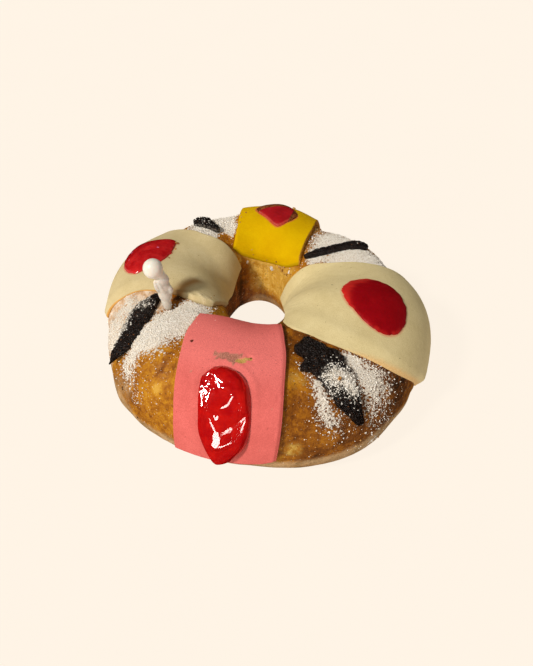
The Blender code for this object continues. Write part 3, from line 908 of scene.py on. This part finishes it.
def jelly_grid(name, rings, segments, ragged):
    """Places of a slab of jelly by distance out from its middle and by bearing, and its middle."""
    out = 1 - (1 - np.linspace(0, 1, rings + 1)[1:]) ** 1.7
    out, bearing = np.meshgrid(out, np.linspace(0, 360, segments, endpoint=False), indexing="ij")
    edge = JELLY_EDGES[name][1]
    middle = [sum(place[k] for place in edge) / len(edge) for k in (0, 1)]
    rim = jelly_edge(name, bearing)
    uneven = 1 + ragged * layered(laid_flat(*rim), 2.4, 63) * out ** 3
    theta, phi = (centre + out * uneven * (curve - centre) for centre, curve in zip(middle, rim))
    return out, theta, phi, middle


def make_jelly(name, look, slot, rings, segments, height, marks, ragged):
    """A slab of jelly on its crust, with a flat underside."""
    out, theta, phi, middle = jelly_grid(name, rings, segments, ragged)
    seat = SEAT_GAP + CRUST_THICKNESS[JELLY_EDGES[name][0]] + CLEARANCE
    lift = seat + height(theta, phi, out)
    high = on_loaf(theta, phi, lift)
    low = on_loaf(theta, phi, np.full(theta.shape, seat))[:-1]
    middles = [on_loaf(*np.array(middle), np.array(up)) for up in (lift[0].mean(), seat)]
    points = np.concatenate([high.reshape(-1, 3), low.reshape(-1, 3), middles])
    top = np.arange(rings * segments).reshape(rings, segments)
    under = np.concatenate([top[:-1] + rings * segments, top[-1:]])
    faces = []
    for side, index in enumerate((top, under)):
        ring = np.pad(index, ((0, 0), (0, 1)), mode="wrap")
        fan = np.stack([np.full(segments, len(points) - 2 + side), ring[0, :-1], ring[0, 1:]], -1)
        for part in (grid_faces(ring), fan):
            faces += (part[:, ::-1] if side else part).tolist()
    found = marks(theta, phi, out) if marks else {}
    found = {key: np.concatenate([values.ravel(), values[:-1].ravel(), [values[0, 0]] * 2])
             for key, values in found.items()}
    make_piece(name + "_slab", points, faces, jelly_material(look, found), name, found)


def sun_way(azimuth, elevation):
    """The way towards a light, with azimuth 0 at the front and 90 on the left."""
    a, e = math.radians(azimuth), math.radians(elevation)
    return np.array([-math.sin(a) * math.cos(e), -math.cos(a) * math.cos(e), math.sin(e)])


# The camera's place and the ways of the two lights, for the wrinkles of the wet jelly too
CAMERA_TILT = 42.0
CAMERA_DISTANCE = 340.0
CAMERA_AIM = np.array([-2.8, 2.0, 20.0])
CAMERA_PLACE = CAMERA_AIM + CAMERA_DISTANCE * sun_way(0.0, CAMERA_TILT)
KEY_LIGHT = (50.0, 43.0)
LOW_LIGHT = (20.0, 12.0)

# Where the wet jelly glints: the light, lines of places and their half widths in millimetres
GLINTS = (
    (LOW_LIGHT, ((256.8, 32.5), (257.3, 29.8)), 0.15),
    (LOW_LIGHT, ((257.3, 29.8), (258.8, 24.5)), 0.35),
    (LOW_LIGHT, ((259.2, 22.0), (259.5, 19.0), (259.1, 16.5)), 1.15),
    (LOW_LIGHT, ((260.4, 22.9), (261.6, 25.2), (263.2, 28.0)), 0.42),
    (LOW_LIGHT, ((263.2, 28.0), (264.7, 30.8), (267.5, 38.4)), 0.22),
    (LOW_LIGHT, ((259.0, 14.4), (261.2, 15.7), (264.3, 20.0), (266.1, 27.3), (267.4, 36.3)), 0.2),
    (LOW_LIGHT, ((260.1, 41.4), (262.0, 44.0), (263.2, 49.8)), 0.25),
    (LOW_LIGHT, ((258.1, 35.1), (258.7, 32.3), (259.2, 35.5)), 0.25),
    (KEY_LIGHT, ((252.9, 50.2), (254.2, 39.8)), 0.12),
    (KEY_LIGHT, ((255.9, 51.9), (255.2, 43.5)), 0.12),
    (KEY_LIGHT, ((263.0, 66.0), (265.4, 61.5), (266.4, 55.5)), 0.14),
    (KEY_LIGHT, ((256.4, 60.6), (257.6, 58.8), (258.6, 54.5)), 0.2),
    (KEY_LIGHT, ((257.6, 58.8), (259.6, 57.4)), 0.18),
)
GLINT_NET = ((253.4, 56, 2.6, 8, 1.4), (256.6, 58.5, 1.6, 4, 0.8))


class WetForm:
    """The wet jelly's height over its seat, wrinkled so that it glints where the real one does."""

    STEP = 0.22
    THICK = 4.2
    RIM = 4.5
    LIFT = 7.0
    CLEAR = 0.17
    ROUNDS = 4
    PULLS = 300

    def __init__(self):
        self.steps = [self.STEP / scale for scale in SKIN_SCALE]
        self.thetas = np.arange(247.0, 273.0, self.steps[0])
        self.phis = np.arange(-12.0, 76.0, self.steps[1])
        theta, phi = np.meshgrid(self.thetas, self.phis, indexing="ij")
        rim = np.stack(jelly_edge("jelly_front", np.linspace(0, 360, 91)), -1)
        away = np.where(self.inside(theta, phi, rim), line_distance(theta, phi, rim), 0)
        x = np.clip(away / self.RIM, 0, 1)
        plain = self.THICK * np.sqrt(1 - (1 - x) ** 2) - 1.6 * x * blob(theta, phi, (261, 31), (12, 17))
        self.form = self.wrinkled(theta, phi, plain, away)

    @staticmethod
    def inside(theta, phi, rim):
        found = np.zeros(theta.shape, bool)
        for (x0, y0), (x1, y1) in zip(rim, rim[1:]):
            share = (phi - y0) / (y1 - y0 if y1 != y0 else 1e-9)
            found ^= ((y0 > phi) != (y1 > phi)) & (theta < x0 + share * (x1 - x0))
        return found

    def mirror_rises(self, theta, phi, light):
        """The rise along theta and along phi with which the skin mirrors a light to the camera."""
        lift = np.full(theta.shape, self.LIFT)
        view = CAMERA_PLACE - on_loaf(theta, phi, lift)
        half = view / np.linalg.norm(view, axis=-1, keepdims=True) + sun_way(*light)
        share = (half * skin_normal(theta, phi)).sum(-1)
        along = on_loaf(theta + 0.5, phi, lift) - on_loaf(theta - 0.5, phi, lift)
        up = on_loaf(theta, phi + 0.5, lift) - on_loaf(theta, phi - 0.5, lift)
        return np.stack([-(half * way).sum(-1) / share / size for way, size in zip((along, up), SKIN_SCALE)])

    def rises(self, form):
        return np.stack([np.diff(form, axis=k, append=np.take(form, [-1], k)) for k in (0, 1)]) / self.STEP

    def gathered(self, rise):
        """The reverse of rises."""
        total = np.zeros_like(rise[0])
        total[1:] += rise[0, :-1]
        total[:-1] -= rise[0, :-1]
        total[:, 1:] += rise[1, :, :-1]
        total[:, :-1] -= rise[1, :, :-1]
        return total / self.STEP

    @staticmethod
    def bent(form):
        bend = np.zeros_like(form)
        bend[1:-1, 1:-1] = (4 * form[1:-1, 1:-1] - form[2:, 1:-1] - form[:-2, 1:-1] - form[1:-1, 2:]
                            - form[1:-1, :-2])
        return bend

    def settled(self, form, plain, want, weight):
        """The form that has the wanted rises as nearly as it can, by conjugate gradients."""
        def pull(trial):
            stiff = 0.02 * self.bent(self.bent(trial)) + 0.003 * trial
            return self.gathered(weight * self.rises(trial)) + stiff
        left = self.gathered(weight * want) + 0.003 * plain - pull(form)
        way, size = left.copy(), (left ** 2).sum()
        for _ in range(self.PULLS):
            pushed = pull(way)
            step = size / (way * pushed).sum()
            form, left = form + step * way, left - step * pushed
            fresh = (left ** 2).sum()
            way, size = left + fresh / size * way, fresh
        return form

    def wrinkled(self, theta, phi, plain, away):
        places = laid_flat(theta, phi)
        needed = {light: self.mirror_rises(theta, phi, light) for light in (KEY_LIGHT, LOW_LIGHT)}
        strokes = [(light, 4 * np.clip((half - line_distance(theta, phi, line)) / 0.2 + 0.5, 0, 1))
                   for light, line, half in GLINTS]
        ribs = np.abs(noise(places, 1.0, 55))
        net = np.clip(blobs(theta, phi, GLINT_NET), 0, 1)
        strokes.append((KEY_LIGHT, net * 3 * np.clip((0.13 - ribs) / 0.06, 0, 1)))
        drawn = sum(stroke for _, stroke in strokes)
        wanted = sum(stroke * needed[light] for light, stroke in strokes) / np.maximum(drawn, 1e-9)
        share = np.clip(drawn, 0, 1)
        wild = 0.6 * noise(places, 0.8, 57) * net * np.clip((ribs - 0.26) / 0.08, 0, 1)
        form = plain
        for _ in range(self.ROUNDS):
            want = self.rises(form)
            weight = np.full(want.shape, 0.05)
            for need in needed.values():
                push = np.maximum(self.CLEAR / np.maximum(np.hypot(*(want - need)), 0.03), 1.0)
                want = need + (want - need) * push
                weight = np.maximum(weight, 0.7 * (push > 1.0) * (away > 0.8))
            want = (want + wild) * (1 - share) + wanted * share
            weight = weight * (1 - share) + np.maximum(drawn, 0.05) * share
            form = self.settled(form, plain, want, weight)
        return form

    def height(self, theta, phi, out):
        x, y = (np.clip((value - places[0]) / step, 0, len(places) - 1.001)
                for value, places, step in zip((theta, phi), (self.thetas, self.phis), self.steps))
        i, j = x.astype(int), y.astype(int)
        a, b = x - i, y - j
        form = ((self.form[i, j] * (1 - b) + self.form[i, j + 1] * b) * (1 - a)
                + (self.form[i + 1, j] * (1 - b) + self.form[i + 1, j + 1] * b) * a)
        return np.maximum(form, 0.2) * np.clip(1.6 * np.clip(1 - out ** 2, 0, 1) ** 0.35, 0, 1)


# Each jelly's two shades, its rim's shade, its roughness, the size and depth of its relief, its coat,
# how much light it lets in and its shine
JELLY_LOOKS = {
    "wet_jelly": (((168, 10, 14), (198, 24, 18)), None, 0.09, 1.2, 0.01, 0.35, 0.25, 0.5),
    "satin_jelly": (((138, 0, 9), (152, 2, 13)), (196, 36, 30), 0.38, 1.6, 0.10, 0.0, 0.15, 0.12),
    "dull_jelly": (((150, 12, 20), (178, 22, 30)), (190, 70, 56), 0.42, 1.6, 0.10, 0.0, 0.15, 0.15),
    "gloss_jelly": (((180, 12, 20), (214, 42, 42)), (214, 92, 88), 0.18, 1.4, 0.14, 0.5, 0.2, 0.5),
}


def jelly_material(name, marks):
    """Red fruit jelly that lets a little light in, painted where it has marks."""
    shades, rim, roughness, size, depth, coat, inner, shine = JELLY_LOOKS[name]
    paint = Paint(name)
    broad = paint.noise(6.0, 2.0)
    middle = paint.noise(size, 3.0)
    paint.base = paint.ramp(paint.sum((broad, 0.7), (middle, 0.3)), *zip((0.35, 0.65), shades))
    if "rim_light" in marks:
        paint.layer("rim_light", 0.2, 0.9, 1, rim, (middle, 0.3))
    if "glint" in marks:
        paint.layer("glint", 0.3, 0.8, 1, (222, 128, 172))
    if "baked" in marks:
        burnt = paint.ramp(middle, (0.4, (92, 40, 18)), (0.6, (150, 84, 40)))
        paint.layer("baked", 0.3, 0.7, 1, burnt, (middle, 0.5))
    return paint.finish(roughness, paint.bump(middle, depth), Subsurface_Weight=inner, Coat_Weight=coat,
                        Coat_Roughness=0.04, Specular_IOR_Level=shine,
                        Subsurface_Radius=(0.9, 0.12, 0.06), Subsurface_Scale=0.0015)


def domed(thickness, shape, relief=0.0):
    """A height for a slab with a round rim."""
    def height(theta, phi, out):
        rise = np.clip(1 - out ** 2, 0, 1) ** shape
        lumps = layered(laid_flat(theta, phi), 5.0, 61) * np.clip(rise * 2.5, 0, 1)
        return thickness * rise + relief * lumps
    return height


def right_jelly_marks(theta, phi, out):
    high = step_up(phi + 0.35 * (theta - 335), 82, 95)
    patches = np.clip(layered(laid_flat(theta, phi), 4.0, 64), 0, 1)
    rim = step_up(out, 0.82, 0.97) * 0.32 + step_up(out, 0.5, 0.9) * high * 0.75
    return {"rim_light": rim + 0.5 * patches}


def back_jelly_marks(theta, phi, out):
    return {"rim_light": step_up(out, 0.8, 0.98) * 0.8,
            "baked": np.maximum(step_up(theta - phi, -3, 1), step_up(-theta, -72.6, -71.2))}


def left_jelly_marks(theta, phi, out):
    # Painted highlights: rim_light along the rim, strongest on its upper edge, and glint as pale pink flecks
    return {"rim_light": step_up(out, 0.86, 0.98) * (0.35 + 0.65 * step_up(-phi, -66, -52)),
            "glint": blobs(theta, phi, ((159.7, 54.8, 0.9, 2.0, 1.0), (156.7, 79.5, 0.6, 1.4, 0.9),
                                        (166, 58, 0.5, 1.2, 0.8)))}


# Each jelly: its look and slot, the rings and segments of its mesh, its height, marks and raggedness
JELLIES = (
    ("jelly_front", "wet_jelly", "bright_jelly", 120, 320, WetForm().height, None, 0.0),
    ("jelly_right", "satin_jelly", "dark_jelly", 40, 220, domed(1.7, 0.48, 0.12), right_jelly_marks, 0.05),
    ("jelly_back", "dull_jelly", "dark_jelly", 30, 120, domed(1.55, 0.4), back_jelly_marks, 0.03),
    ("jelly_left", "gloss_jelly", "dark_jelly", 50, 160, domed(2.05, 0.42, 0.18), left_jelly_marks, 0.03),
)


def fruit_material():
    paint = Paint("dried_fruit")
    middle = paint.noise(1.3, 3.0, 0.65, 0.5)
    fine = paint.noise(0.42, 2.0)
    paint.base = paint.ramp(paint.sum((middle, 0.6), (fine, 0.4)), (0.35, (8, 4, 2)), (0.55, (26, 14, 9)),
                            (0.72, (66, 42, 28)))
    paint.dots(1.0, 1.0, 0.70, 0.74, 0.8, (124, 74, 36))
    paint.layer("dust", 0.3, 0.6, 0.85, (206, 194, 178), (fine, 0.9), (middle, 0.4))
    rough = paint.span(fine, 0.3, 0.7, 0.22, 0.7)
    relief = paint.sum((middle, 1.0), (fine, 0.7))
    return paint.finish(rough, paint.bump(relief, 0.8), Specular_IOR_Level=0.34)


# How white the sugar makes the front strips
STRIP_WHITENESS = {"strip_front_left": 1.3, "strip_front_right": 0.9}


def strip_dust(name, sheet):
    """Sugar on a strip: patches on the front ones and a rim at the back left."""
    if name in STRIP_WHITENESS:
        return np.clip(blobs(sheet.theta, sheet.phi, STRIP_SUGAR), 0, 1) * STRIP_WHITENESS[name]
    return 0.35 * near(sheet.edge, 0.9) * (sheet.theta > 90)


def make_strip(name, material):
    """A shrivelled strip of dried fruit, ragged at its sides. Returns points and faces for the sugar."""
    sheet = Sheet(STRIP_EDGES[name], STRIP_ROUNDING, *STRIP_MESH)
    s, t = sheet.s, sheet.t
    flat = loaf_point(sheet.theta, sheet.phi)
    line = np.stack([t * 40, t * 0, t * 0], -1)
    swing = 1 + 0.12 * noise(line, 2.2, 71) * np.sign(s - 0.5) + 0.12 * noise(line, 0.7, 73)
    tip = STRIP_TIP_RISE.get(name, 0.0)
    point = step_up(t, 0.0, 0.16) if tip else np.ones(t.shape)
    theta, phi = sheet.places((1 + (2 * s - 1) * swing * (0.15 + 0.85 * point)) / 2, t)
    wave = 0.4 * np.sin(np.pi * s) * (1 + np.sin(9 * t))
    across = s * 13.0 + 1.2 * noise(line, 5.0, 79)
    wrinkles = 1 - 2 * np.abs(noise(np.stack([across, t * 9.0, t * 0], -1), 1.3, 75))
    lumps = 0.62 * layered(flat, 2.0, 77) + 0.12 * noise(flat, 0.6, 78)
    top = SEAT_GAP + STRIP_THICKNESS * 0.8 + wave + 0.40 * wrinkles + lumps
    low = STRIP_GAP + tip * np.maximum(1 - 3 * t, 0.0) ** 2
    thick = np.maximum(top - STRIP_GAP, 0.3) * (0.35 + 0.65 * point)
    high = low + thick * rim_profile(sheet.edge, 1.3)
    points, faces = sheet.close(*(on_loaf(theta, phi, lift) for lift in (low, high)))
    make_piece(name + "_fruit", points, faces, material, name,
               {"dust": sheet.both(strip_dust(name, sheet))})
    return points, faces


# The doll's lumps along its body: middle, radii and lean. Its +X is on the left as the camera sees it
DOLL_LUMPS = (
    ((0.2, 0, 21.8), (4.35, 4.3, 4.5), 0),
    ((-1.2, 0.8, 18.4), (2.3, 2.1, 3.2), 20),
    ((-0.9, 0.2, 15.0), (3.2, 2.5, 3.4), 8),
    ((0.0, 0, 11.4), (3.3, 2.5, 4.4), 0),
    ((0.7, 0, 7.6), (3.0, 2.4, 4.2), -4),
    ((1.8, 0, 3.8), (2.2, 2.0, 5.2), -10),
    ((0.7, 1.9, 12.4), (0.8, 0.9, 4.2), 4),
    ((2.3, 1.0, 13.6), (1.1, 1.3, 3.4), -6),
    ((-2.7, 0.8, 14.6), (1.3, 1.3, 1.8), 0),
    ((-2.2, 0.9, 9.4), (1.4, 1.4, 2.2), 0),
)


# The size of the cells of the doll's skin, and the heights between which its body, painted in shade, gives
# way to its head
DOLL_CELL = 0.28
DOLL_NECK = (15.5, 18.5)


def doll_frame():
    """The doll's own frame in millimetres: its foot on the dough, +Z up its body and +Y out of its belly."""
    up = Vector(DOLL_HEAD).normalized()
    side = Vector(DOLL_BELLY).cross(up).normalized()
    turn = Matrix((side, up.cross(side), up)).transposed().to_4x4()
    foot = loaf_point(np.array(DOLL_PLACE[0]), np.array(DOLL_PLACE[1]))
    return Matrix.Translation(Vector(foot) * MM) @ turn @ Matrix.Scale(MM, 4)


def plastic_material():
    paint = Paint("white_plastic")
    broad = paint.noise(5.0, 2.0)
    fine = paint.noise(0.7, 2.0)
    paint.base = paint.ramp(paint.sum((broad, 0.8), (fine, 0.2)), (0.35, (232, 222, 207)),
                            (0.65, (242, 234, 221)))
    # Painted shade: the body below the neck darker than the head
    paint.over(paint.mark("body"), paint.ramp(fine, (0.35, (210, 200, 186)), (0.65, (226, 217, 204))))
    return paint.finish(0.34, paint.bump(paint.sum((broad, 0.5), (fine, 0.3)), 0.06), Subsurface_Weight=0.3,
                        Specular_IOR_Level=0.5, Subsurface_Radius=(0.8, 0.6, 0.45), Subsurface_Scale=0.002)


def make_doll():
    """The white plastic baby, from rounded lumps melted into one skin."""
    place = doll_frame()
    shape = bmesh.new()
    for middle, radii, lean in DOLL_LUMPS:
        turn = Matrix.Rotation(math.radians(lean), 4, "Y")
        matrix = place @ Matrix.Translation(middle) @ turn @ Matrix.Diagonal((*radii, 1.0))
        bmesh.ops.create_icosphere(shape, subdivisions=4, radius=1.0, matrix=matrix)
    rough = add_object("doll_lumps", mesh_of("doll_lumps", shape))
    remesh = rough.modifiers.new("Skin", "REMESH")
    remesh.mode = "VOXEL"
    remesh.voxel_size = DOLL_CELL * MM
    soften = rough.modifiers.new("Soften", "SMOOTH")
    soften.factor = 0.5
    soften.iterations = 10
    graph = bpy.context.evaluated_depsgraph_get()
    skin = bpy.data.meshes.new_from_object(rough.evaluated_get(graph))
    bpy.data.objects.remove(rough)
    skin.name = "doll_figure"
    skin.shade_smooth()
    skin.materials.clear()
    skin.materials.append(plastic_material())
    back = place.inverted()
    # The body's painted shade, fading out at the neck
    heights = np.array([(back @ vertex.co).z for vertex in skin.vertices])
    body = skin.attributes.new("body", "FLOAT", "POINT")
    body.data.foreach_set("value", (0.9 * (1 - step_up(heights, *DOLL_NECK))).astype(np.float32))
    doll = add_object("doll_figure", skin)
    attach(doll, "root")
    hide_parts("doll")


def sugar_material():
    paint = Paint("sugar_crystals")
    paint.base = paint.ramp(paint.noise(1.2, 1.0), (0.3, (230, 221, 207)), (0.7, (243, 237, 228)))
    return paint.finish(0.4, paint.bump(paint.noise(0.2, 1.0), 0.02), Specular_IOR_Level=0.4)


# Corners and faces of a grain of sugar and of a speck of its dust, at a half width of 1
GRAIN = (np.array([[x, y, z] for x in (-1, 1) for y in (-1, 1) for z in (-1, 1)], float),
         np.array([[0, 1, 3, 2], [4, 6, 7, 5], [0, 4, 5, 1], [2, 3, 7, 6], [0, 2, 6, 4], [1, 5, 7, 3]]))
DUST = (np.array([[1, 0, 0], [-1, 0, 0], [0, 1, 0], [0, -1, 0], [0, 0, 1], [0, 0, -1]], float) * 1.25,
        np.array([[0, 2, 4], [2, 1, 4], [1, 3, 4], [3, 0, 4], [2, 0, 5], [1, 2, 5], [3, 1, 5], [0, 3, 5]]))


def ground_tree(parts):
    """One tree of the dough, the strips and the closed pieces, and what each of its faces is."""
    for piece in bpy.context.scene.objects:
        if piece.name.endswith(("_paste", "_slab", "_figure")):
            points = np.zeros(len(piece.data.vertices) * 3)
            piece.data.vertices.foreach_get("co", points)
            faces = [list(polygon.vertices) for polygon in piece.data.polygons]
            parts.append((points.reshape(-1, 3) / MM, faces, "closed"))
    faces, ends, kinds, start = [], [], [], 0
    for points, these, kind in parts:
        faces += [[index + start for index in face] for face in np.asarray(these, dtype=object).tolist()]
        start += len(points)
        ends.append(len(faces))
        kinds.append(kind)
    tree = BVHTree.FromPolygons(np.concatenate([points for points, _, _ in parts]).tolist(), faces)
    return tree, lambda face: kinds[int(np.searchsorted(ends, face, side="right"))]


# Where sugar falls round the section, how far over the skin it starts, how far it may fall, and the widest
# radius, by which the trials are thinned so that they fall evenly
FALL_PHI = (-25, 160)
FALL_START = 14.0
FALL_REACH = 20.0
WIDEST = 82.0


def scatter(name, material, ground, form, trials, sizes, seed, share, strip_table=STRIP_SUGAR, loose=0.003):
    """Grains where the drifts lie, dropped onto the dough and the strips, and a loose few on the paste."""
    tree, kind_of = ground
    luck = np.random.default_rng(seed)
    theta = luck.uniform(0, 360, trials)
    phi = luck.uniform(*FALL_PHI, trials)
    flat = loaf_point(theta, phi)
    depth = share(theta, phi, flat)
    on_strips = np.clip(blobs(theta, phi, strip_table), 0, 1)
    radius = np.hypot(flat[:, 0] - RING_MIDDLE[0], flat[:, 1] - RING_MIDDLE[1])
    keep = luck.uniform(0, 1, trials) < np.maximum(depth, on_strips) * radius / WIDEST
    theta, phi, depth, on_strips = theta[keep], phi[keep], depth[keep], on_strips[keep]
    start = on_loaf(theta, phi, np.full(theta.shape, FALL_START))
    normal = skin_normal(theta, phi)
    corners, corner_faces = form
    points, faces = [], []
    chance = luck.uniform(0, 1, len(theta))
    size = luck.uniform(*sizes, len(theta))
    turns = luck.normal(size=(len(theta), 3, 3))
    squeeze = luck.uniform(0.65, 1.25, (len(theta), 3))
    for k in range(len(theta)):
        hit, facing, face, _ = tree.ray_cast(Vector(start[k]), Vector(-normal[k]), FALL_REACH)
        if hit is None:
            continue
        limits = {"closed": loose, "strip": on_strips[k], "dough": depth[k] + 0.1}
        if chance[k] > limits[kind_of(face)]:
            continue
        turn, _ = np.linalg.qr(turns[k])
        shape = corners * squeeze[k] * size[k] @ turn.T
        points.append(shape + np.array(hit) + np.array(facing) * size[k] * 0.4)
        faces.append(corner_faces + len(corners) * len(faces))
    piece = make_piece(name, np.concatenate(points), np.concatenate(faces), material)
    piece.data.shade_flat()


# Loose crumbs: blobs of the small ones, then place, lift and size of the big ones
CRUMB_DRIFTS = (
    (57.5, 84, 1.8, 20, 0.6), (50, 108, 3, 10, 0.7), (70, 147, 16, 5, 0.5), (97, 140, 10, 8, 0.3),
    (208, 122, 9, 7, 0.5), (193, 92, 3, 6, 0.4), (301, 88, 6, 5, 0.15), (98, 100, 2, 16, 0.4),
    (300, 10, 12, 12, 0.08),
)
BIG_CRUMBS = (((297.5, 57), 3.4, 0.8), ((145.5, 86.3), 3.6, 0.6), ((150.7, 90.0), 3.5, 0.5),
              ((303.0, 24.0), 0.4, 0.6), ((73.5, 60.5), 3.4, 0.8))


def crumb_material():
    paint = Paint("crumb")
    paint.base = paint.ramp(paint.noise(1.6, 1.0), (0.35, (126, 76, 34)), (0.5, (184, 130, 66)),
                            (0.65, (218, 180, 120)))
    return paint.finish(0.8, paint.bump(paint.noise(0.4), 0.1), Specular_IOR_Level=0.1)


def make_big_crumbs(material):
    shape = bmesh.new()
    for number, ((theta, phi), lift, size) in enumerate(BIG_CRUMBS):
        place = Vector(on_loaf(np.array(theta), np.array(phi), np.array(lift))) * MM
        made = bmesh.ops.create_icosphere(shape, subdivisions=2, radius=size * MM,
                                          matrix=Matrix.Translation(place))
        for vertex in made["verts"]:
            wobble = noise(np.array([vertex.co / MM]), 0.6, number)[0]
            vertex.co += (vertex.co - place) * 0.45 * float(wobble)
    mesh = mesh_of("big_crumbs", shape)
    mesh.materials.append(material)
    piece = add_object("big_crumbs", mesh)
    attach(piece, "root")


def glowing_material(name, size, shades, relief_size, roughness, strength):
    """A dark matt material that glows like pale paper."""
    paint = Paint(name)
    paint.base = paint.ramp(paint.noise(size, 1.0), *zip((0.3, 0.7), shades))
    return paint.finish(roughness, paint.bump(paint.noise(relief_size), 0.01), Emission_Strength=strength,
                        Emission_Color=GLOW_COLOUR, Specular_IOR_Level=0.0)


# The floor in metres, how strongly it and the backdrop glow, and the colour of that glow
FLOOR_REACH = 4.0
FLOOR_DROP = 0.0002
FLOOR_GLOW = 0.955
BACKDROP_GLOW = 1.0
GLOW_COLOUR = (1.0, 0.905, 0.79, 1.0)


def make_floor():
    mesh = bpy.data.meshes.new("floor")
    sides = ((-1, -1), (1, -1), (1, 1), (-1, 1))
    corners = [(x * FLOOR_REACH, y * FLOOR_REACH, -FLOOR_DROP) for x, y in sides]
    mesh.from_pydata(corners, [], [(0, 1, 2, 3)])
    shades = ((62, 60, 57), (64, 62, 59))
    mesh.materials.append(glowing_material("pale_floor", 60.0, shades, 2.0, 0.9, FLOOR_GLOW))
    floor = add_object("floor", mesh)
    floor.visible_glossy = False


def make_backdrop():
    """A pale dome far behind, which only the camera sees."""
    shape = bmesh.new()
    bmesh.ops.create_icosphere(shape, subdivisions=4, radius=FLOOR_REACH * 0.98)
    mesh = mesh_of("backdrop", shape)
    shades = ((2, 2, 2), (3, 3, 3))
    mesh.materials.append(glowing_material("pale_backdrop", 900.0, shades, 50.0, 1.0, BACKDROP_GLOW))
    dome = add_object("backdrop", mesh)
    dome.visible_diffuse = dome.visible_glossy = dome.visible_transmission = dome.visible_shadow = False


def add_sun(name, way, strength, shade, spread):
    """A distant light from a way given by azimuth and elevation."""
    light = bpy.data.lights.new(name, "SUN")
    light.energy = strength
    light.color = shade
    light.angle = math.radians(spread)
    lamp = add_object(name, light)
    source = Vector(sun_way(*way))
    lamp.rotation_mode = "QUATERNION"
    lamp.rotation_quaternion = source.to_track_quat("Z", "Y")
    lamp.location = source


FILL_STRENGTH = 0.30


def light_studio():
    add_sun("key_light", KEY_LIGHT, strength=2.75, shade=(1.0, 0.97, 0.91), spread=8.0)
    add_sun("low_light", LOW_LIGHT, strength=0.22, shade=(1.0, 0.97, 0.92), spread=7.0)
    world = bpy.data.worlds.new("studio")
    world.use_nodes = True
    background = world.node_tree.nodes["Background"]
    background.inputs["Color"].default_value = (1.0, 0.98, 0.95, 1.0)
    background.inputs["Strength"].default_value = FILL_STRENGTH
    world.cycles_visibility.glossy = False
    bpy.context.scene.world = world
    bpy.context.scene.view_settings.view_transform = "Standard"


# The camera: its sensor, and the picture's height, focal length and shift in pixels of the photo
SENSOR_HEIGHT = 36.0
PHOTO_HEIGHT = 666.0
FOCAL_LENGTH = 693.0
PHOTO_SHIFT = (5.5, -8.7)


def make_camera():
    data = bpy.data.cameras.new("camera")
    data.sensor_fit = "VERTICAL"
    data.sensor_height = SENSOR_HEIGHT
    data.lens = SENSOR_HEIGHT * FOCAL_LENGTH / PHOTO_HEIGHT
    data.shift_x, data.shift_y = (shift / PHOTO_HEIGHT for shift in PHOTO_SHIFT)
    camera = add_object("camera", data)
    camera.location = Vector(CAMERA_PLACE) * MM
    camera.rotation_mode = "QUATERNION"
    camera.rotation_quaternion = Vector(CAMERA_AIM - CAMERA_PLACE).to_track_quat("-Z", "Y")
    bpy.context.scene.camera = camera


parts = [(*make_loaf(), "dough")]
for row in CRUSTS:
    make_crust(*row)
for row in JELLIES:
    make_jelly(*row)
fruit = fruit_material()
parts += [(*make_strip(name, fruit), "strip") for name in STRIP_EDGES]
make_doll()

sugar, crumb = sugar_material(), crumb_material()
ground = ground_tree(parts)
scatter("sugar_grains", sugar, ground, GRAIN, 420000, (0.14, 0.28), 4,
        lambda theta, phi, flat: sugar_depth(theta, phi, flat) * 0.5)
scatter("sugar_dust", sugar, ground, DUST, 480000, (0.12, 0.22), 5,
        lambda theta, phi, flat: sugar_depth(theta, phi, flat) ** 1.1 * 0.8)
make_big_crumbs(crumb)
scatter("small_crumbs", crumb, ground, GRAIN, 160000, (0.16, 0.36), 6,
        lambda theta, phi, flat: np.clip(blobs(theta, phi, CRUMB_DRIFTS), 0, 1), (), 0.02)

make_floor()
make_backdrop()
light_studio()
make_camera()
